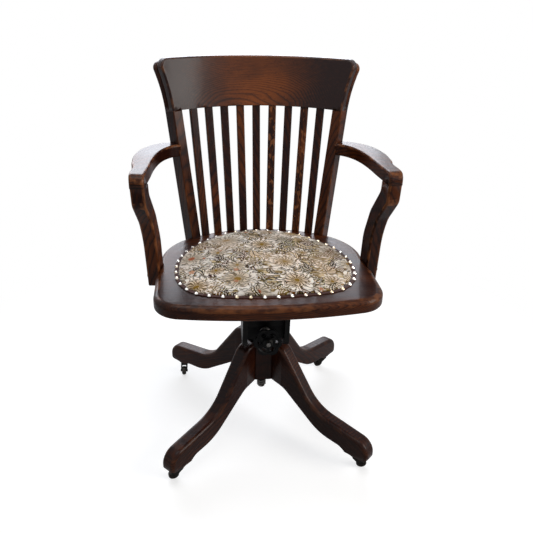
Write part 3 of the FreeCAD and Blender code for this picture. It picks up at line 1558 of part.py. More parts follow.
sides = {"left": -1, "right": 1}
fixings = stump_fixings()
inward = Placement(Vector(0, 0, -S.plug_depth - S.stump_screw_radius), Rotation())
stump_screws = screws(
    "stump_screws", [place.multiply(inward) for place in fixings], "Sizes.stump_screw_radius * 1.8",
    "Sizes.stump_screw_radius", "Sizes.stump_screw_radius", "Sizes.stump_screw_length",
)
node("stump_screws", stump_screws)
stump_plugs = node("stump_plugs", plugs(fixings))
stumps = {name: stump(side) for name, side in sides.items()}
above = over_arms()
for name, side in sides.items():
    node("stump_" + name, cut("stump_" + name, stumps[name], above, stump_screws, stump_plugs))
    node("arm_" + name, cut("arm_" + name, arm_blank(side), posts[name]))

# Assembly: seat and its pad

node("seat", cut("seat", seat_board(), *slats, *posts.values(), *stumps.values(), rail_screws, stump_screws))
node("pad_gimp", gimp())
node("seat_pad", seat_pad())
node("pad_nails", nails())

# Checks and files

doc.recompute()
for made in doc.Objects:
    if "Invalid" in made.State or "Error" in made.State:
        raise RuntimeError(f"{made.Name} failed: {made.State}")
for name, made in NODES.items():
    if made.Shape.isNull() or not made.Shape.isValid():
        raise RuntimeError(f"{name} has no valid shape")
os.makedirs("parts", exist_ok=True)
box = FreeCAD.BoundBox()
corners = 0
for name, made in NODES.items():
    made.Shape.exportStep(f"parts/{name}.step")
    box.add(made.Shape.BoundBox)
    corners += len(made.Shape.Faces)
print(f"{len(NODES)} nodes, {corners} faces")
print(f"x {box.XMin:.1f} to {box.XMax:.1f}, y {box.YMin:.1f} to {box.YMax:.1f}, z {box.ZMin:.1f} to {box.ZMax:.1f}")
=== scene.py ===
import json
import math

import bmesh
import bpy
from mathutils import Matrix, Vector


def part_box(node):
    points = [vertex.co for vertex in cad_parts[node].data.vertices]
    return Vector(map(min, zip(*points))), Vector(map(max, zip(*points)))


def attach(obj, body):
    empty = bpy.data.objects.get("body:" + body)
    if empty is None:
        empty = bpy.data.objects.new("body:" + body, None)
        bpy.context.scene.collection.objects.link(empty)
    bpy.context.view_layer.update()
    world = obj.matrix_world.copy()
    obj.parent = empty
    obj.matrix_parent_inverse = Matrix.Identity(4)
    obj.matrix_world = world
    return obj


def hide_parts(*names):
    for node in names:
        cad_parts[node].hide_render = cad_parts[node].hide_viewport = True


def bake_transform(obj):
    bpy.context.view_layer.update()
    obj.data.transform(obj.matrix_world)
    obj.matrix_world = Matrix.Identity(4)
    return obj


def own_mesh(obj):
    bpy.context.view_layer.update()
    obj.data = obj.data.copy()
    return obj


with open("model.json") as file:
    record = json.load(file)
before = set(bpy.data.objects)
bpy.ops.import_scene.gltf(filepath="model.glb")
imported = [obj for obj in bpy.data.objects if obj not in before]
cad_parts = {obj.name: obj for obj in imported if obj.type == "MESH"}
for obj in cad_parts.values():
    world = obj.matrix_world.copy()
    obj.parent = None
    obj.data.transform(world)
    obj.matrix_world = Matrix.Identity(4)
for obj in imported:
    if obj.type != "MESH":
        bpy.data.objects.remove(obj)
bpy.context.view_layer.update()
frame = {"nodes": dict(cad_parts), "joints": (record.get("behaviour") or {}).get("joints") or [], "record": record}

bl_info = {
    "name": "Bankers Swivel Chair",
    "version": (1, 0, 0),
    "blender": (4, 5, 0),
    "location": "3D View > Sidebar > Chair",
    "description": "Finishes a packed oak swivel chair: stained wood, iron, a tapestry pad and its nails",
    "category": "Add Mesh",
}

MM = 0.001
FULL_TURN = 2 * math.pi
SAME_CORNER = 0.01 * MM     # corners of a CAD mesh that are closer than this are one
ALONG_X = Vector((1, 0, 0))
ALONG_Z = Vector((0, 0, 1))
WHITE = (1.0, 1.0, 1.0, 1.0)

JOINTS = {joint["name"]: joint for joint in frame["joints"]}
AXIS = Vector(JOINTS["height_nut_turn"]["pos_m"]).xy.to_3d()     # where the spindle's axis meets the floor
BOLT_ROOT = Vector(JOINTS["bolt_swing"]["pos_m"])
BOLT_WAY = Vector(JOINTS["tension_travel"]["axis"])


# Sizes and colours


class ChairWood(bpy.types.PropertyGroup):
    dark: bpy.props.FloatVectorProperty(
        name="Dark stain", description="Colour of the pores and the late rings", subtype="COLOR",
        size=4, min=0.0, max=1.0, default=(0.006, 0.0022, 0.0018, 1.0),
    )
    stain: bpy.props.FloatVectorProperty(
        name="Stain", description="Colour of most of the wood", subtype="COLOR",
        size=4, min=0.0, max=1.0, default=(0.020, 0.0045, 0.0024, 1.0),
    )
    warm: bpy.props.FloatVectorProperty(
        name="Warm stain", description="Colour where the stain is thin", subtype="COLOR",
        size=4, min=0.0, max=1.0, default=(0.20, 0.052, 0.011, 1.0),
    )
    worn: bpy.props.FloatVectorProperty(
        name="Worn edges", description="Colour of the rubbed edges", subtype="COLOR",
        size=4, min=0.0, max=1.0, default=(0.36, 0.13, 0.045, 1.0),
    )


class ChairMetal(bpy.types.PropertyGroup):
    black: bpy.props.FloatVectorProperty(
        name="Black iron", description="Colour of the japanned castings", subtype="COLOR",
        size=4, min=0.0, max=1.0, default=(0.0035, 0.0035, 0.004, 1.0),
    )
    castor: bpy.props.FloatVectorProperty(
        name="Castor iron", description="Colour of the castors' plates and forks", subtype="COLOR",
        size=4, min=0.0, max=1.0, default=(0.016, 0.014, 0.012, 1.0),
    )
    wheel: bpy.props.FloatVectorProperty(
        name="Castor wheels", description="Colour of the castors' steel wheels", subtype="COLOR",
        size=4, min=0.0, max=1.0, default=(0.05, 0.045, 0.04, 1.0),
    )
    dust: bpy.props.FloatVectorProperty(
        name="Dust", description="Colour of the dust on the castings", subtype="COLOR",
        size=4, min=0.0, max=1.0, default=(0.013, 0.011, 0.009, 1.0),
    )
    steel: bpy.props.FloatVectorProperty(
        name="Steel", description="Colour of the oiled steel", subtype="COLOR",
        size=4, min=0.0, max=1.0, default=(0.20, 0.19, 0.18, 1.0),
    )
    tarnish: bpy.props.FloatVectorProperty(
        name="Tarnish", description="Colour of the stains on the steel", subtype="COLOR",
        size=4, min=0.0, max=1.0, default=(0.035, 0.028, 0.022, 1.0),
    )
    nickel: bpy.props.FloatVectorProperty(
        name="Nickel", description="Colour of the dome nails", subtype="COLOR",
        size=4, min=0.0, max=1.0, default=(0.80, 0.77, 0.72, 1.0),
    )
    yellowed: bpy.props.FloatVectorProperty(
        name="Yellowed nickel", description="Colour of the nails whose nickel has worn thin", subtype="COLOR",
        size=4, min=0.0, max=1.0, default=(0.62, 0.50, 0.33, 1.0),
    )


class ChairPad(bpy.types.PropertyGroup):
    ground: bpy.props.FloatVectorProperty(
        name="Ground", description="Colour of the tapestry between its flowers", subtype="COLOR",
        size=4, min=0.0, max=1.0, default=(0.28, 0.21, 0.115, 1.0),
    )
    petal: bpy.props.FloatVectorProperty(
        name="Petals", description="Colour of the pale petals", subtype="COLOR",
        size=4, min=0.0, max=1.0, default=(0.97, 0.91, 0.85, 1.0),
    )
    leaf: bpy.props.FloatVectorProperty(
        name="Leaves", description="Colour of the leaves", subtype="COLOR",
        size=4, min=0.0, max=1.0, default=(0.13, 0.11, 0.045, 1.0),
    )
    outline: bpy.props.FloatVectorProperty(
        name="Outlines", description="Colour of stems and outlines", subtype="COLOR",
        size=4, min=0.0, max=1.0, default=(0.07, 0.044, 0.022, 1.0),
    )
    blush: bpy.props.FloatVectorProperty(
        name="Blush", description="Colour of the hearts of the flowers", subtype="COLOR",
        size=4, min=0.0, max=1.0, default=(0.40, 0.17, 0.12, 1.0),
    )
    braid: bpy.props.FloatVectorProperty(
        name="Braid", description="Colour of the gimp's threads", subtype="COLOR",
        size=4, min=0.0, max=1.0, default=(0.085, 0.024, 0.015, 1.0),
    )
    # painted shade: the colour laid in the hollows between the gimp's threads
    braid_hollow_shade: bpy.props.FloatVectorProperty(
        name="Dark braid", description="Colour between the gimp's threads", subtype="COLOR",
        size=4, min=0.0, max=1.0, default=(0.016, 0.005, 0.004, 1.0),
    )
    yarn: bpy.props.FloatProperty(
        name="Yarn", description="Distance from thread to thread",
        default=0.9 * MM, min=0.3 * MM, max=3 * MM, subtype="DISTANCE", unit="LENGTH",
    )
    swell: bpy.props.FloatProperty(
        name="Swell", description="How far the stuffing may push the cover out",
        default=5 * MM, min=0.0, max=15 * MM, subtype="DISTANCE", unit="LENGTH",
    )
    dimple: bpy.props.FloatProperty(
        name="Dimple", description="How far each nail draws the cloth down",
        default=1.6 * MM, min=0.0, max=4 * MM, subtype="DISTANCE", unit="LENGTH",
    )


class ChairStage(bpy.types.PropertyGroup):
    floor: bpy.props.FloatVectorProperty(
        name="Floor", description="Colour of the floor", subtype="COLOR",
        size=4, min=0.0, max=1.0, default=(0.52, 0.52, 0.52, 1.0),
    )
    key: bpy.props.FloatProperty(
        name="Key lamp", description="Power of the soft lamp at the right front",
        default=46.0, min=0.0, subtype="POWER", unit="POWER",
    )
    top: bpy.props.FloatProperty(
        name="Top lamp", description="Power of the wide lamp overhead",
        default=24.0, min=0.0, subtype="POWER", unit="POWER",
    )
    sky: bpy.props.FloatProperty(
        name="Sky lamp", description="Power of the bluish lamp behind, which the tops of the wood mirror",
        default=118.0, min=0.0, subtype="POWER", unit="POWER",
    )
    lens: bpy.props.FloatProperty(
        name="Lens", description="Focal length for a 36 mm sensor", default=39.17, min=10.0, unit="CAMERA",
    )


# Node helpers


class Shader:
    """A material or world under construction. Most methods add nodes and return the last one's output."""

    def __init__(self, name, world=False):
        self.owner = (bpy.data.worlds if world else bpy.data.materials).new(name)
        self.owner.use_nodes = True
        self.tree = self.owner.node_tree
        self.tree.nodes.clear()
        self.output = self.tree.nodes.new("ShaderNodeOutputWorld" if world else "ShaderNodeOutputMaterial")

    def node(self, kind, settings=None, **inputs):
        """Adds a node. An input goes by its socket's name, with _ for each space."""
        made = self.tree.nodes.new("ShaderNode" + kind)
        for name, value in (settings or {}).items():
            setattr(made, name, value)
        for name, value in inputs.items():
            self.feed(made.inputs[name.replace("_", " ")], value)
        return made

    def feed(self, socket, value):
        """Links another node's output to the socket, or sets the socket's own value."""
        if isinstance(value, bpy.types.NodeSocket):
            self.tree.links.new(value, socket)
        else:
            socket.default_value = value

    def filled(self, made, values):
        """Feeds the node's first inputs in turn, and returns the node."""
        for socket, value in zip(made.inputs, values):
            self.feed(socket, value)
        return made

    def math(self, operation, *values, clamp=False):
        return self.filled(self.node("Math", {"operation": operation, "use_clamp": clamp}), values).outputs[0]

    def plus(self, first, second, clamp=False):
        return self.math("ADD", first, second, clamp=clamp)

    def minus(self, first, second):
        return self.math("SUBTRACT", first, second)

    def times(self, first, second):
        return self.math("MULTIPLY", first, second)

    def vector(self, operation, *values):
        made = self.filled(self.node("VectorMath", {"operation": operation}), values)
        return made.outputs["Value" if operation == "LENGTH" else "Vector"]

    def mix(self, share, under, over):
        """Lays the colour over upon the colour under."""
        made = self.node("Mix", {"data_type": "RGBA", "blend_type": "MIX"})
        factor, first_colour, second_colour = made.inputs[0], made.inputs[6], made.inputs[7]
        self.feed(factor, share)
        self.feed(first_colour, under)
        self.feed(second_colour, over)
        return made.outputs[2]

    def tint(self, share, strength, under, over):
        """As mix, but over covers no more than the strength."""
        return self.mix(self.times(share, strength), under, over)

    def step(self, value, low, high):
        """Rises smoothly from 0 at low to 1 at high, or falls where low is the greater."""
        made = self.node("MapRange", {"interpolation_type": "SMOOTHSTEP"})
        return self.filled(made, (value, low, high, 0.0, 1.0)).outputs[0]

    def noise(self, vector, scale, detail=2.0, roughness=0.5, distortion=0.0):
        """Cloudy noise with about as many spots a metre as the scale says."""
        return self.node(
            "TexNoise", Vector=vector, Scale=scale, Detail=detail, Roughness=roughness, Distortion=distortion,
        ).outputs[0]

    def grained(self, vector, scales, detail=2.0, roughness=0.5, distortion=0.0, shift=(0, 0, 0)):
        """Noise that is drawn out: it has its own number of spots a metre along x, y and z."""
        return self.noise(self.mapped(vector, place=shift, scale=scales), 1.0, detail, roughness, distortion)

    def mapped(self, vector, place=(0, 0, 0), turn=(0, 0, 0), scale=(1, 1, 1)):
        """Coordinates scaled, turned and moved, in that order."""
        return self.node("Mapping", Vector=vector, Location=place, Rotation=turn, Scale=scale).outputs[0]

    def apart(self, vector):
        return self.node("SeparateXYZ", Vector=vector).outputs

    def together(self, *parts):
        return self.filled(self.node("CombineXYZ"), parts).outputs[0]

    def position(self):
        return self.node("TexCoord").outputs["Object"]

    def weave(self):
        """The cloth's own map, in metres along and across its threads."""
        return self.node("UVMap", {"uv_map": "weave"}).outputs[0]

    def bump(self, height, strength, distance, **inputs):
        return self.node("Bump", Strength=strength, Distance=distance, Height=height, **inputs).outputs[0]

    def surface(self, **inputs):
        """Shows one plain surface, and returns the finished material."""
        return self.shown(self.node("BsdfPrincipled", **inputs).outputs[0])

    def combined(self, kind, *parts):
        """Adds or mixes whole surfaces."""
        return self.filled(self.node(kind), parts).outputs[0]

    def shown(self, surface):
        """Shows what the nodes made, and returns the finished material or world."""
        self.feed(self.output.inputs[0], surface)
        return self.owner


# Wood


def growth_rings(shader, along, wild):
    """Goes from 0 to 1 in each year's ring, 520 of them a metre, which wander by as much as wild."""
    bend = shader.grained(along, (1.6, 5.0, 5.0), 3.0)
    waver = shader.grained(along, (5.0, 26.0, 26.0), 2.0)
    x, y, z = shader.apart(along)
    reach = shader.vector("LENGTH", shader.together(shader.times(x, 0.05), y, z))
    reach = shader.plus(reach, shader.times(bend, wild))
    reach = shader.plus(reach, shader.times(waver, 3 * MM))
    return shader.math("FRACT", shader.times(reach, 520.0))


def worn_edges(shader, turned):
    """Patches along the rims that mark_rims has marked."""
    edge = shader.node("Attribute", {"attribute_name": "rim"}).outputs["Fac"]
    rubbed = shader.grained(turned, (22.0, 40.0, 40.0), 3.0, 0.65)
    return shader.times(edge, shader.step(rubbed, 0.42, 0.66))


def oak(name, grain, heart, tone=0.5, seed=0.0, flecked=False, wild=0.008, thin=None,
        shine=1.0, polish=0.12, rub=0.2):
    """Stained oak cut from one log: its rings lie about the heart, a line that runs along the grain.

    Tone is how far the stain has thinned, thin the middle of a pale place, flecked the rays of quartered
    oak, shine the varnish, polish its roughness, and rub how much the edges are worn.
    """
    wood = bpy.context.scene.chair_wood
    shader = Shader(name)
    turn = Vector(grain).normalized().rotation_difference(ALONG_X)
    turned = shader.mapped(shader.position(), turn=turn.to_euler())
    along = shader.mapped(turned, place=Vector((seed * 3.7, 0, 0)) - turn @ Vector(heart))

    # the year's rings and what the grain shows at this place, each from 0 to 1
    ring = growth_rings(shader, along, wild)
    early = shader.minus(1.0, shader.step(ring, 0.0, 0.42))
    late = shader.step(ring, 0.62, 1.0)
    pores = shader.step(shader.grained(along, (30.0, 1150.0, 1150.0), 1.0, 0.4), 0.52, 0.66)
    pores = shader.times(pores, shader.plus(0.35, shader.times(early, 0.65)))
    streaks = shader.grained(along, (7.0, 210.0, 210.0), 3.0, 0.6)
    patches = shader.grained(turned, (5.0, 9.0, 9.0), 3.0, 0.6, shift=(seed, seed, 0))

    # how far the stain has thinned here, and a paler, warmer patch about the given point
    warmth = shader.times(shader.step(patches, 0.30, 0.78), tone)
    # near the given point the wood is paler and warmer; beyond 0.21 m of it the warm patches are gone
    if thin:
        away = shader.vector("LENGTH", shader.vector("SUBTRACT", shader.position(), thin))
        warmth = shader.times(shader.plus(warmth, 0.45), shader.step(away, 0.21, 0.02))
    warmth = shader.plus(warmth, shader.times(shader.minus(streaks, 0.5), 0.55))
    warmth = shader.plus(warmth, shader.times(early, -0.10))
    warmth = shader.plus(warmth, shader.times(late, -0.20), clamp=True)

    # the colours, from the stain up to the rubbed edges
    colour = shader.mix(warmth, wood.stain, wood.warm)
    colour = shader.tint(late, 0.62, colour, wood.dark)
    if flecked:
        rays = shader.grained(along, (60.0, 330.0, 75.0), 1.0, 0.3, 0.6)
        colour = shader.tint(shader.step(rays, 0.56, 0.64), 0.55, colour, wood.worn)
    colour = shader.tint(pores, 0.85, colour, wood.dark)
    colour = shader.tint(worn_edges(shader, turned), rub, colour, wood.worn)

    height = shader.plus(shader.times(pores, -0.6), shader.times(streaks, 0.4))
    eased = shader.node("Bevel", {"samples": 6}, Radius=3 * MM).outputs[0]
    return shader.surface(
        Base_Color=colour, Roughness=shader.plus(0.08 + polish, shader.times(patches, 0.24)),
        Normal=shader.bump(height, 0.35, 0.6 * MM, Normal=eased),
        Coat_Weight=0.11 * shine, Coat_Roughness=polish, Specular_IOR_Level=0.10 * shine,
    )


# Metals


def iron(name, colour):
    """Japanned casting, a little pitted, with dust on it."""
    shader = Shader(name)
    place = shader.position()
    pits = shader.noise(place, 900.0)
    waves = shader.noise(place, 120.0)
    dusty = shader.step(shader.noise(place, 45.0, 4.0, 0.65), 0.48, 0.75)
    height = shader.plus(shader.times(pits, 0.3), waves)
    return shader.surface(
        Base_Color=shader.mix(dusty, colour, bpy.context.scene.chair_metal.dust),
        Roughness=shader.plus(0.30, shader.times(dusty, 0.3)),
        Normal=shader.bump(height, 0.4, 0.6 * MM), Specular_IOR_Level=0.12,
    )


def steel(name, colour=None, rough=0.32):
    """Bare steel, oiled and darkened with age."""
    metal = bpy.context.scene.chair_metal
    shader = Shader(name)
    place = shader.position()
    stains = shader.step(shader.noise(place, 70.0, 4.0, 0.6), 0.45, 0.7)
    scratches = shader.grained(place, (900.0, 900.0, 60.0))
    return shader.surface(
        Base_Color=shader.mix(stains, colour or metal.steel, metal.tarnish), Metallic=1.0,
        Roughness=shader.plus(rough, shader.times(stains, 0.25)), Normal=shader.bump(scratches, 0.15, 0.3 * MM),
    )


def nail_metal():
    """Nickelled dome nails, some of them yellowed."""
    metal = bpy.context.scene.chair_metal
    shader = Shader("nail_metal")
    place = shader.position()
    yellowed = shader.step(shader.noise(place, 14.0), 0.45, 0.65)
    dents = shader.noise(place, 420.0, 1.0)
    return shader.surface(
        Base_Color=shader.mix(yellowed, metal.nickel, metal.yellowed), Metallic=1.0,
        Roughness=0.22, Normal=shader.bump(dents, 0.25, 0.5 * MM),
    )


# Cloth


def gimp_braid():
    """Dark red-brown braid: two plaits of fine thread, with painted shade in the hollows between the threads."""
    pad = bpy.context.scene.chair_pad
    shader = Shader("gimp_braid")
    x, y, _ = shader.apart(shader.weave())
    # in radians a metre, which is a stitch each 3.3 mm along and 4.2 mm across
    along = shader.times(x, 1900.0)
    across = shader.times(y, 1500.0)
    left = shader.math("SINE", shader.plus(along, across))
    right = shader.math("SINE", shader.minus(along, across))
    plait = shader.math("MAXIMUM", left, right)
    return shader.surface(
        # the hollows between the threads take the darker colour, painted shade
        Base_Color=shader.mix(shader.step(plait, -0.2, 1.0), pad.braid_hollow_shade, pad.braid),
        Roughness=0.75, Normal=shader.bump(plait, 0.6, 0.6 * MM),
        Sheen_Weight=0.1, Sheen_Roughness=0.5, Specular_IOR_Level=0.3,
    )


# Threads of the tapestry, besides the pad's own colours
STRAW = (0.66, 0.54, 0.35, 1.0)
PETAL_FOOT = (0.62, 0.48, 0.32, 1.0)
PETAL_GAP = (0.15, 0.10, 0.05, 1.0)
COOL_PETAL = (0.52, 0.52, 0.50, 1.0)
BROWN_HEART = (0.30, 0.20, 0.08, 1.0)
PALE_BUD = (0.60, 0.36, 0.24, 1.0)
FADED = (0.66, 0.50, 0.38, 1.0)
DARK_THREAD = (0.09, 0.06, 0.035, 1.0)


def scattered(shader, place, density, shift, randomness):
    """Spots strewn over the cloth: gives the way from the nearest spot, and its three chance values."""
    moved = shader.mapped(place, place=shift)
    cells = shader.node(
        "TexVoronoi", {"voronoi_dimensions": "2D"}, Vector=moved, Scale=density, Randomness=randomness,
    ).outputs
    return shader.vector("SUBTRACT", moved, cells["Position"]), shader.apart(cells["Color"])


def inside_of(shader, inside):
    """Goes from 0 outside a shape to 1 inside it."""
    return shader.step(inside, -0.3 * MM, 0.3 * MM)


def blossom(shader, place, density, shift, petals, size):
    """Spiky flowers of two rounds of petals.

    Gives how far inside the edge a point is, its share of the way out, how near it is to the gap between two
    petals, and the flower's chance values.
    """
    away, chance = scattered(shader, place, density, shift, 0.85)
    x, y, _ = shader.apart(away)
    angle = shader.plus(shader.math("ARCTAN2", y, x), shader.times(chance[0], FULL_TURN))
    angle = shader.plus(angle, shader.times(shader.noise(place, 48.0, 1.0), 1.5))
    reach = shader.vector("LENGTH", away)
    radius = shader.times(shader.plus(0.65, shader.times(chance[1], 0.5)), size)
    far = shader.math("DIVIDE", reach, radius)
    inner = shader.step(far, 0.56, 0.52)
    turns = shader.times(angle, petals / FULL_TURN)
    turns = shader.math("FRACT", shader.plus(turns, shader.times(inner, 0.5)))
    gap = shader.math("ABSOLUTE", shader.minus(shader.times(turns, 2.0), 1.0))
    point = shader.minus(1.0, shader.math("POWER", gap, 1.7))
    edge = shader.times(radius, shader.plus(0.42, shader.times(point, 0.58)))
    return shader.minus(edge, reach), far, gap, chance


def leaf(shader, place, density, shift, length, width):
    """Bent almond leaves: gives how far inside a point is, its way off and along the midrib, and chance."""
    away, chance = scattered(shader, place, density, shift, 1.0)
    turn = shader.times(chance[0], FULL_TURN)
    turned = shader.node("VectorRotate", {"rotation_type": "Z_AXIS"}, Vector=away, Angle=turn).outputs[0]
    x, y, _ = shader.apart(turned)
    y = shader.plus(y, shader.times(shader.times(x, x), 0.9 / length))
    share = shader.math("DIVIDE", x, length)
    half = shader.times(shader.minus(1.0, shader.times(share, share)), width)
    rib = shader.math("ABSOLUTE", y)
    return shader.minus(half, rib), rib, x, chance


def cloth_ground(shader, place, pad):
    """Bands of ochre, olive and brown thread with pale and dark strokes, which the flowers lie on."""
    cloud = shader.noise(place, 26.0, 3.0, 0.6)
    colour = shader.mix(shader.step(cloud, 0.42, 0.58), pad.ground, STRAW)
    strokes = ((pad.leaf, 0.53), (pad.petal, 0.55), (pad.outline, 0.57))
    for number, (shade, low) in enumerate(strokes):
        flow = shader.grained(place, (20.0, 84.0, 1.0), 2.0, 0.5, 1.6, shift=(3.1 * number, 1.7 * number, 0))
        colour = shader.tint(shader.step(flow, low, low + 0.05), 0.85, colour, shade)
    return colour


def feathered(shader, place, pad, colour, density, shift, length, width, dark, light):
    """Lays feathered leaves over the colours so far."""
    inside, rib, x, chance = leaf(shader, place, density, shift, length, width)
    shade = shader.mix(chance[1], dark, light)
    veins = shader.math("SINE", shader.times(shader.plus(x, rib), 850.0))     # one each 7.4 mm
    shade = shader.tint(shader.step(veins, 0.1, 0.7), 0.9, shade, pad.petal)
    shade = shader.mix(shader.step(rib, 2.4 * MM, 0.8 * MM), shade, pad.outline)
    shade = shader.mix(shader.step(inside, 3 * MM, 0.8 * MM), shade, pad.outline)
    return shader.mix(inside_of(shader, inside), colour, shade)


def flowered(shader, place, pad, colour, density, shift, petals, size, rarity):
    """Lays spiky flowers over the colours so far."""
    inside, far, gap, chance = blossom(shader, place, density, shift, petals, size)
    shade = shader.mix(shader.step(far, 0.9, 0.1), pad.petal, PETAL_FOOT)
    tiers = shader.math("FRACT", shader.plus(shader.times(far, 3.2), shader.times(gap, 0.6)))
    shade = shader.tint(shader.step(tiers, 0.76, 0.96), 0.75, shade, pad.outline)
    shade = shader.tint(shader.step(gap, 0.50, 0.72), 0.92, shade, PETAL_GAP)
    shade = shader.tint(shader.step(chance[1], 0.45, 0.6), 0.35, shade, COOL_PETAL)
    heart = shader.mix(shader.step(chance[1], 0.78, 0.82), BROWN_HEART, pad.blush)
    shade = shader.mix(shader.step(far, 0.15, 0.10), shade, heart)
    shade = shader.tint(shader.step(inside, 2.8 * MM, 0.8 * MM), 0.85, shade, pad.outline)
    chosen = shader.step(chance[2], rarity, rarity + 0.01)
    return shader.mix(shader.times(inside_of(shader, inside), chosen), colour, shade)


def budded(shader, place, pad, colour):
    """Strews small buds over the colours so far."""
    inside, _, _, chance = blossom(shader, place, 24.0, (0.9, 0.45, 0), 5, 8 * MM)
    shown = shader.times(shader.step(inside, -0.2 * MM, 0.3 * MM), shader.step(chance[2], 0.80, 0.82))
    return shader.mix(shown, colour, shader.mix(chance[1], pad.blush, PALE_BUD))


def tapestry():
    """Woven cloth strewn with spiky flowers, feathered leaves and small buds, in stepped threads."""
    pad = bpy.context.scene.chair_pad
    warp_pitch = pad.yarn
    weft_pitch = pad.yarn * 0.7
    shader = Shader("tapestry")
    uv = shader.weave()
    place = shader.vector("SNAP", uv, (warp_pitch, weft_pitch, warp_pitch))
    sway = shader.node("TexNoise", Vector=place, Scale=24.0, Detail=2.0).outputs["Color"]
    sway = shader.vector("MULTIPLY", shader.vector("SUBTRACT", sway, (0.5, 0.5, 0.5)), (21 * MM, 19 * MM, 0.0))
    place = shader.vector("ADD", place, sway)

    # leaves a metre, shift, length, half width and two colours; flowers a metre, shift, petals, size and rarity
    feathers = (
        (19.0, (0.13, 0.00, 0), 35 * MM, 12.5 * MM, pad.leaf, (0.34, 0.29, 0.12, 1.0)),
        (16.0, (0.44, 0.77, 0), 42 * MM, 14 * MM, (0.16, 0.09, 0.04, 1.0), (0.50, 0.36, 0.18, 1.0)),
        (23.0, (0.81, 0.29, 0), 28 * MM, 8 * MM, (0.17, 0.13, 0.07, 1.0), (0.58, 0.50, 0.34, 1.0)),
    )
    flowers = (
        (17.0, (0.93, 0.68, 0), 9, 33 * MM, 0.50),
        (14.0, (0.57, 0.11, 0), 11, 44 * MM, 0.50),
        (10.5, (0.21, 0.37, 0), 15, 60 * MM, 0.40),
    )
    colour = cloth_ground(shader, place, pad)
    for feather, flower in zip(feathers, flowers):
        colour = feathered(shader, place, pad, colour, *feather)
        colour = flowered(shader, place, pad, colour, *flower)
    colour = budded(shader, place, pad, colour)

    faded = shader.step(shader.noise(place, 10.0), 0.46, 0.66)
    colour = shader.tint(faded, 0.30, colour, FADED)
    thread = shader.grained(uv, (300.0, 1400.0, 1.0), 2.0, 0.7)
    colour = shader.tint(shader.step(thread, 0.40, 0.75), 0.28, colour, DARK_THREAD)
    colour = shader.node("BrightContrast", Color=colour, Bright=0.06, Contrast=0.36).outputs[0]

    x, y, _ = shader.apart(uv)
    weft = shader.math("SINE", shader.times(y, FULL_TURN / weft_pitch))
    warp = shader.math("SINE", shader.times(x, FULL_TURN / warp_pitch))
    woven = shader.plus(shader.times(weft, warp), thread)
    return shader.surface(
        Base_Color=colour, Roughness=0.85, Normal=shader.bump(woven, 0.5, 0.4 * MM),
        Sheen_Weight=0.08, Sheen_Roughness=0.5, Specular_IOR_Level=0.15,
    )


# Mesh helpers


def merged(node):
    """A CAD node's mesh as a bmesh, with its loose triangles joined at their corners."""
    bm = bmesh.new()
    bm.from_mesh(frame["nodes"][node].data)
    bmesh.ops.remove_doubles(bm, verts=bm.verts, dist=SAME_CORNER)
    return bm


def cut_off(bm, place, way, **cleared):
    """Cuts the mesh at a plane, takes away what is cleared, and closes the cut."""
    cut = bmesh.ops.bisect_plane(
        bm, geom=bm.verts[:] + bm.edges[:] + bm.faces[:], plane_co=place, plane_no=way, **cleared,
    )["geom_cut"]
    rim = [part for part in cut if isinstance(part, bmesh.types.BMEdge)]
    bmesh.ops.holes_fill(bm, edges=rim, sides=0)


def mesh_of(name, bm, smooth=True):
    """Turns the bmesh into a mesh of that name."""
    mesh = bpy.data.meshes.new(name)
    bm.to_mesh(mesh)
    bm.free()
    for polygon in mesh.polygons:
        polygon.use_smooth = smooth
    return mesh


def finished(name, bm, material, crisp=None):
    """A new piece, with its place in its mesh. Edges that turn by more than crisp degrees stay sharp."""
    mesh = mesh_of(name, bm)
    if crisp:
        mesh.set_sharp_from_angle(angle=math.radians(crisp))
    mesh.materials.append(material)
    piece = bpy.data.objects.new(name, mesh)
    bpy.context.scene.collection.objects.link(piece)
    return piece


def dress(names, material):
    """Gives CAD pieces their finish."""
    for name in names:
        node = frame["nodes"][name]
        node.data.materials.clear()
        node.data.materials.append(material)


def named(*starts):
    """The CAD nodes whose names start so."""
    return [name for name in frame["nodes"] if name.startswith(starts)]


def body_of(node):
    """The body in the record that a CAD node belongs to."""
    for body, members in frame["record"]["behaviour"]["bodies"].items():
        if node in members:
            return body
    raise ValueError(node)


def mark_rims(bm, width=2.4 * MM, bend=0.07):
    """Marks the narrow strips of the rounded edges, where hands and trousers rub the stain off."""
    layer = bm.faces.layers.float.new("rim")
    for face in bm.faces:
        bent = [edge.calc_length() for edge in face.edges if edge.calc_face_angle(0.0) > bend]
        if bent and 2 * face.calc_area() / max(bent) < width:
            face[layer] = 1.0


def smoothed(node, material):
    """A copy of a wooden piece whose sawn curves shade smoothly and whose arrises stay crisp."""
    bm = merged(node)
    mark_rims(bm)
    piece = finished(node + "_oak", bm, material, crisp=32)
    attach(piece, body_of(node))
    even = piece.modifiers.new("even", "WEIGHTED_NORMAL")
    even.keep_sharp = True
    even.weight = 100
    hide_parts(node)


# Operators


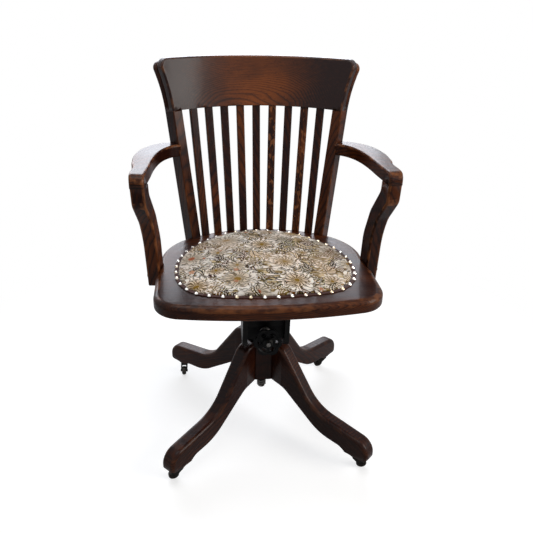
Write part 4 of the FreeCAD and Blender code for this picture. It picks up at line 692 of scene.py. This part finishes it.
class CHAIR_OT_stage(bpy.types.Operator):
    """Pale floor, soft lamps and the camera"""

    bl_idname = "chair.stage"
    bl_label = "Stage"

    def execute(self, context):
        stage = context.scene.chair_stage
        self.floor(stage)
        self.world(context)
        self.lamp("key_lamp", (2.3, -1.1, 1.5), (1.3, 1.6), stage.key, (1.0, 0.96, 0.91))
        self.lamp("top_lamp", (-0.3, -0.4, 2.8), (1.8, 1.8), stage.top, (1.0, 0.99, 0.97))
        self.lamp("sky_lamp", (-0.5, 3.1, 1.9), (3.8, 2.0), stage.sky, (0.89, 0.92, 1.0))
        self.camera(context, stage)
        context.scene.view_settings.view_transform = "Standard"
        return {"FINISHED"}

    def floor(self, stage):
        """Matt floor that holds the shadow near the chair and turns plain white to the camera further out."""
        shader = Shader("floor")
        path = shader.node("LightPath").outputs
        mirrored = shader.math("MAXIMUM", path["Is Glossy Ray"], path["Is Transmission Ray"])
        lift = shader.plus(shader.times(path["Is Camera Ray"], 0.64), shader.times(mirrored, 0.05))
        matt = shader.node("BsdfDiffuse", Color=stage.floor).outputs[0]
        glow = shader.node("Emission", Color=WHITE, Strength=lift).outputs[0]
        near = shader.combined("AddShader", matt, glow)
        far = shader.node("Emission", Color=WHITE, Strength=1.0).outputs[0]
        reach = shader.vector("LENGTH", shader.position())
        share = shader.times(shader.step(reach, 0.55, 1.15), path["Is Camera Ray"])
        material = shader.shown(shader.combined("MixShader", share, near, far))

        bm = bmesh.new()
        bmesh.ops.create_grid(bm, x_segments=1, y_segments=1, size=12)
        floor = bpy.data.objects.new("floor", mesh_of("floor", bm, smooth=False))
        floor.data.materials.append(material)
        bpy.context.scene.collection.objects.link(floor)

    def world(self, context):
        """A dim bluish room for the light, brighter where metal mirrors it, and plain white to the camera."""
        shader = Shader("studio", world=True)
        path = shader.node("LightPath").outputs
        mirrored = shader.math("MAXIMUM", path["Is Glossy Ray"], path["Is Transmission Ray"])
        room = shader.node("Background", Color=(0.90, 0.95, 1.0, 1.0), Strength=0.15).outputs[0]
        sheen = shader.node("Background", Color=(0.92, 0.95, 1.0, 1.0), Strength=0.8).outputs[0]
        plain = shader.node("Background", Color=WHITE, Strength=1.0).outputs[0]
        light = shader.combined("MixShader", mirrored, room, sheen)
        context.scene.world = shader.shown(shader.combined("MixShader", path["Is Camera Ray"], light, plain))

    def lamp(self, name, place, size, power, colour):
        """A soft rectangle of light that faces the seat."""
        seat = Vector((0, 0, 0.45))
        data = bpy.data.lights.new(name, "AREA")
        data.shape = "RECTANGLE"
        data.size, data.size_y = size
        data.energy = power
        data.color = colour
        lamp = bpy.data.objects.new(name, data)
        lamp.location = place
        lamp.rotation_euler = (seat - Vector(place)).to_track_quat("-Z", "Y").to_euler()
        bpy.context.scene.collection.objects.link(lamp)

    def camera(self, context, stage):
        """The photograph's own view, worked out from the chair's right angles and its castors.

        The camera stands at a heading round the chair's axis, that far away and that high above the floor,
        and its yaw, pitch and roll say how it is held.
        """
        heading = math.radians(-5.9)
        yaw = heading - math.radians(0.34)
        pitch = math.radians(-25.7)
        roll = math.radians(1.21)
        away = 1.2904
        height = 1.0783
        ahead = Vector((-math.sin(yaw) * math.cos(pitch), math.cos(yaw) * math.cos(pitch), math.sin(pitch)))
        side = Vector((math.cos(yaw), math.sin(yaw), 0))
        up = side.cross(ahead)
        right = side * math.cos(roll) + up * math.sin(roll)
        top = up * math.cos(roll) - side * math.sin(roll)
        data = bpy.data.cameras.new("camera")
        data.lens = stage.lens
        data.sensor_width = 36.0
        camera = bpy.data.objects.new("camera", data)
        place = AXIS + Vector((away * math.sin(heading), -away * math.cos(heading), height))
        camera.matrix_world = Matrix.Translation(place) @ Matrix((right, top, -ahead)).transposed().to_4x4()
        context.scene.collection.objects.link(camera)
        context.scene.camera = camera


class CHAIR_OT_wood(bpy.types.Operator):
    """Oak boards with eased edges, each with grain of its own"""

    bl_idname = "chair.wood"
    bl_label = "Wood"

    def execute(self, context):
        self.boards()
        self.legs()
        self.slats()
        dress(["stump_plugs"], oak("oak_plugs", ALONG_Z, (0.0, 0.1, 0.0), 0.3))
        return {"FINISHED"}

    def boards(self):
        """Seat, crest rail, arms, stumps, posts and hub, each with its own grain, heart, tone and wear."""
        plain = {"wild": 0.010, "rub": 0.3}
        handled = {"wild": 0.010, "rub": 0.55}
        crest = {"wild": 0.034, "rub": 0.25, "thin": (-0.01, 0.25, 0.87), "shine": 1.9, "polish": 0.20}
        pieces = {
            "seat": (ALONG_X, (0.0, 0.12, 0.28), 0.45, plain),
            "crest_rail": (ALONG_X, (0.0, 0.29, 0.785), 0.95, crest),
            "arm_left": ((0.18, 1, 0), (-0.25, 0.0, 0.62), 0.5, handled),
            "arm_right": ((-0.18, 1, 0), (0.25, 0.0, 0.61), 0.5, handled),
            "stump_left": (ALONG_Z, (-0.18, -0.05, 0.0), 0.45, handled),
            "stump_right": (ALONG_Z, (0.19, -0.09, 0.0), 0.45, handled),
            "post_left": ((-0.15, 0.1, 1), (-0.09, 0.1, 0.6), 0.6, plain),
            "post_right": ((0.15, 0.1, 1), (0.27, 0.07, 0.6), 0.6, plain),
            # the hub's tone of 0 keeps it at the dark stain without warm patches: painted shade for the shadow
            # between the legs
            "hub": (ALONG_Z, (0.02, -0.01, 0.0), 0.0, plain),
        }
        for number, (node, (grain, heart, tone, look)) in enumerate(pieces.items()):
            smoothed(node, oak("oak_" + node, grain, heart, tone, seed=number * 0.71, **look))

    def legs(self):
        """Each leg's grain slopes down and outwards."""
        for node in named("leg_"):
            low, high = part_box(node)
            middle = (low + high) / 2 - AXIS
            heading = Vector((middle.x, middle.y, 0)).normalized()
            heart = AXIS + heading * 0.1 + ALONG_Z * 0.1
            seed = middle.x * 9 + middle.y * 4
            smoothed(node, oak("oak_" + node, heading - ALONG_Z * 0.55, heart, 0.25, seed, rub=0.1))

    def slats(self):
        """Nine slats that fan out from the middle one, some of paler wood and two of them quartered."""
        middle = 5
        quartered = (6, 8)
        tones = (0.6, 1.0, 0.15, 0.9, 0.3, 0.85, 0.25, 1.0, 0.3)
        for number, tone in enumerate(tones, 1):
            node = f"slat_{number}"
            low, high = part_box(node)
            grain = (0.02 * (number - middle), 0.17, 1)
            heart = ((low.x + high.x) / 2 + 0.05 - 0.02 * number, high.y - 0.01 * number, 0)
            smoothed(node, oak("oak_" + node, grain, heart, tone, number * 0.37, number in quartered))


class CHAIR_OT_iron(bpy.types.Operator):
    """Cast iron, steel and castor finishes"""

    bl_idname = "chair.iron"
    bl_label = "Iron"

    def execute(self, context):
        metal = context.scene.chair_metal
        castings = ["seat_iron", "yoke", "hub_socket", "height_nut", "tension_wheel", "spring_cup"]
        dress(castings, iron("black_iron", metal.black))
        bright = [
            "spindle_nut", "spindle_key", "cross_pin", "pin_cotters", "trunnion_pin", "tension_bolt",
            "seat_iron_screws", "socket_screws", "stump_screws", "castor_plate_screws",
        ]
        dress(bright, steel("oiled_steel"))
        castors = named("castor_plate_", "castor_fork_", "castor_axle_")
        dress([node for node in castors if node not in bright], iron("castor_iron", metal.castor))
        dress(named("castor_wheel_"), steel("castor_wheel", metal.wheel, 0.4))
        return {"FINISHED"}


class CHAIR_OT_spring(bpy.types.Operator):
    """The tilt spring, whose rear turns give to the tilting seat while its front turns stay in place"""

    bl_idname = "chair.spring"
    bl_label = "Tilt spring"

    def execute(self, context):
        front_share = 0.34
        wire = frame["nodes"]["tension_spring"].data.vertices
        reaches = [(vertex.co - BOLT_ROOT).dot(BOLT_WAY) for vertex in wire]
        near = min(reaches)
        far = max(reaches)
        split = far - (far - near) * front_share

        rear = self.turns("spring_rear", split, clear_outer=True)
        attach(rear, "bolt")
        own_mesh(rear)

        # the last 7 mm lie in the cup; this part stays in place, attached to no body
        front = self.turns("spring_front", split, clear_inner=True)
        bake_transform(front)
        for piece in (rear, front):
            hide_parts("tension_spring")
        return {"FINISHED"}

    def turns(self, name, split, **cleared):
        """The part of the spring behind or in front of the split."""
        bm = merged("tension_spring")
        cut_off(bm, BOLT_ROOT + BOLT_WAY * split, BOLT_WAY, **cleared)
        return finished(name, bm, steel(name + "_steel"))


class CHAIR_OT_spindle(bpy.types.Operator):
    """The steel screw with its square-shouldered thread"""

    bl_idname = "chair.spindle"
    bl_label = "Spindle"

    def execute(self, context):
        pitch = 6 * MM
        crest = 12.2 * MM
        root = 10.9 * MM
        sunk = 0.3 * MM     # the ridge's foot lies this far inside the core
        bevel = 1 * MM
        run_out = 4 * MM
        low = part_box("spindle")[0].z
        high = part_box("yoke")[0].z - 6 * MM     # above it the journal stays plain
        bm = merged("spindle")
        cut_off(bm, (0, 0, high), ALONG_Z, clear_inner=True)
        length = high - low - bevel
        core = bmesh.ops.create_cone(
            bm, cap_ends=True, segments=32, radius1=root - 2 * bevel, radius2=root, depth=length,
            matrix=Matrix.Translation(AXIS + ALONG_Z * (low + length / 2)),
        )["verts"]
        foot = [vert for vert in core if vert.co.z < low + bevel]
        bmesh.ops.translate(bm, verts=foot, vec=ALONG_Z * bevel)
        self.thread(bm, low + run_out, high - run_out, root - sunk, crest, pitch)
        piece = finished("spindle_threaded", bm, steel("spindle_steel"), crisp=30)
        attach(piece, body_of("spindle"))
        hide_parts("spindle")
        return {"FINISHED"}

    def thread(self, bm, low, high, root, crest, pitch):
        """One ridge, turned up the screw as a right-handed helix."""
        steps_a_turn = 20
        start = AXIS + ALONG_Z * low
        foot = 0.36 * pitch
        flat = 0.20 * pitch
        ridge = ((root, -foot), (crest, -flat), (crest, flat), (root, foot))
        verts = [bm.verts.new(start + Vector((reach, 0, rise))) for reach, rise in ridge]
        edges = [bm.edges.new(pair) for pair in zip(verts, verts[1:])]
        turns = int((high - low) / pitch)
        bmesh.ops.spin(
            bm, geom=verts + edges, cent=start, axis=ALONG_Z, dvec=ALONG_Z * (pitch / steps_a_turn),
            angle=FULL_TURN * turns, steps=steps_a_turn * turns,
        )
        ends = [edge for edge in bm.edges if edge.is_boundary]
        open_faces = [face for face in bm.faces if any(edge.is_boundary for edge in face.edges)]
        bmesh.ops.recalc_face_normals(bm, faces=open_faces)
        bmesh.ops.holes_fill(bm, edges=ends, sides=4)


class CHAIR_OT_pad(bpy.types.Operator):
    """The stuffed tapestry pad"""

    bl_idname = "chair.pad"
    bl_label = "Pad"

    def execute(self, context):
        pad = context.scene.chair_pad
        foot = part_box("seat_pad")[0].z
        piece = finished("tapestry_pad", merged("seat_pad"), tapestry())
        self.remesh(context, piece, voxel=4 * MM)
        self.stuff(context, piece, pad.swell, nailed_below=foot + 4 * MM)
        self.pucker(piece, pad.dimple, underside=foot + 2 * MM)
        self.unwrap(piece)
        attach(piece, "seat")
        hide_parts("seat_pad")
        return {"FINISHED"}

    def remesh(self, context, piece, voxel):
        """An even net of points, for the cloth to move."""
        cover = piece.modifiers.new("cover", "REMESH")
        cover.mode = "VOXEL"
        cover.voxel_size = voxel
        context.view_layer.objects.active = piece
        bpy.ops.object.modifier_apply(modifier=cover.name)
        smooth = piece.modifiers.new("smooth", "SMOOTH")
        smooth.factor = 0.5
        smooth.iterations = 4
        bpy.ops.object.modifier_apply(modifier=smooth.name)

    def stuff(self, context, piece, swell, nailed_below):
        """Blows the cover up like a bag, by no more than the swell, while its edge stays nailed down."""
        rest = [vertex.co.copy() for vertex in piece.data.vertices]
        held = piece.vertex_groups.new(name="nailed")
        held.add([i for i, place in enumerate(rest) if place.z < nailed_below], 1.0, "REPLACE")
        cloth = piece.modifiers.new("cloth", "CLOTH")
        settings = cloth.settings
        settings.quality = 5
        settings.mass = 0.3
        settings.tension_stiffness = 12
        settings.bending_stiffness = 0.6
        settings.use_pressure = True
        settings.uniform_pressure_force = 4.0
        settings.vertex_group_mass = held.name
        settings.effector_weights.gravity = 0
        for frame_number in range(1, 21):
            context.scene.frame_set(frame_number)
        blown = piece.evaluated_get(context.evaluated_depsgraph_get())
        for vertex, start, end in zip(piece.data.vertices, rest, blown.to_mesh().vertices):
            push = end.co - start
            if push.length > swell:
                push.length = swell
            vertex.co = start + push
        blown.to_mesh_clear()
        piece.modifiers.remove(cloth)
        piece.vertex_groups.remove(held)
        context.scene.frame_set(1)

    def pucker(self, piece, depth, underside):
        """Each nail draws the cloth within its reach down a little."""
        reach = 13 * MM
        nails = self.nail_places()
        for vertex in piece.data.vertices:
            if vertex.co.z < underside:
                continue
            for nail in nails:
                away = (vertex.co - nail).xy.length
                if away < reach:
                    vertex.co.z -= depth * (1 - away / reach) ** 2

    def nail_places(self):
        """The middle of each dome nail."""
        bm = merged("pad_nails")
        left = dict.fromkeys(bm.verts)
        places = []
        while left:
            island = []
            reached = [left.popitem()[0]]
            while reached:
                vert = reached.pop()
                island.append(vert.co.copy())
                for link in vert.link_edges:
                    other = link.other_vert(vert)
                    if other in left:
                        del left[other]
                        reached.append(other)
            places.append(sum(island, Vector()) / len(island))
        bm.free()
        return places

    def unwrap(self, piece):
        """The cloth lies flat over the crown, so its threads run straight across and along the seat."""
        mesh = piece.data
        layer = mesh.uv_layers.new(name="weave")
        for loop in mesh.loops:
            place = mesh.vertices[loop.vertex_index].co
            layer.data[loop.index].uv = (place.x, place.y)
        for polygon in mesh.polygons:
            polygon.use_smooth = True


class CHAIR_OT_trim(bpy.types.Operator):
    """Gimp and dome nails round the pad"""

    bl_idname = "chair.trim"
    bl_label = "Gimp and nails"

    def execute(self, context):
        dress(["pad_nails"], nail_metal())
        self.braid()
        return {"FINISHED"}

    def braid(self):
        """The gimp, with threads that follow it round the pad."""
        low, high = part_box("pad_gimp")
        middle = (low + high) / 2
        half_width = (high - low).x / 2
        bm = merged("pad_gimp")
        layer = bm.loops.layers.uv.new("weave")
        for face in bm.faces:
            turned = (face.calc_center_median() - middle).xy
            heading = math.atan2(turned.y, turned.x)
            for loop in face.loops:
                away = loop.vert.co - middle
                angle = math.atan2(away.y, away.x)
                angle += FULL_TURN * round((heading - angle) / FULL_TURN)
                loop[layer].uv = (angle * half_width, away.xy.length)
        piece = finished("braid", bm, gimp_braid(), crisp=40)
        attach(piece, body_of("pad_gimp"))
        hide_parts("pad_gimp")


OPERATORS = (
    CHAIR_OT_stage, CHAIR_OT_wood, CHAIR_OT_iron, CHAIR_OT_spring, CHAIR_OT_spindle, CHAIR_OT_pad,
    CHAIR_OT_trim,
)
GROUPS = {
    "chair_wood": ChairWood, "chair_metal": ChairMetal, "chair_pad": ChairPad, "chair_stage": ChairStage,
}


class CHAIR_PT_panel(bpy.types.Panel):
    """The chair's pieces, sizes and colours"""

    bl_label = "Bankers Swivel Chair"
    bl_idname = "CHAIR_PT_panel"
    bl_space_type = "VIEW_3D"
    bl_region_type = "UI"
    bl_category = "Chair"

    def draw(self, context):
        for operator in OPERATORS:
            self.layout.operator(operator.bl_idname)
        for name, kind in GROUPS.items():
            box = self.layout.box()
            for value in kind.__annotations__:
                box.prop(getattr(context.scene, name), value)


def register():
    for name, group in GROUPS.items():
        bpy.utils.register_class(group)
        setattr(bpy.types.Scene, name, bpy.props.PointerProperty(type=group))
    for item in (*OPERATORS, CHAIR_PT_panel):
        bpy.utils.register_class(item)


def unregister():
    for item in reversed((*OPERATORS, CHAIR_PT_panel)):
        bpy.utils.unregister_class(item)
    for name, group in GROUPS.items():
        delattr(bpy.types.Scene, name)
        bpy.utils.unregister_class(group)


def main():
    register()
    bpy.ops.chair.stage()
    bpy.ops.chair.wood()
    bpy.ops.chair.iron()
    bpy.ops.chair.spring()
    bpy.ops.chair.spindle()
    bpy.ops.chair.pad()
    bpy.ops.chair.trim()


if __name__ == "__main__":
    main()
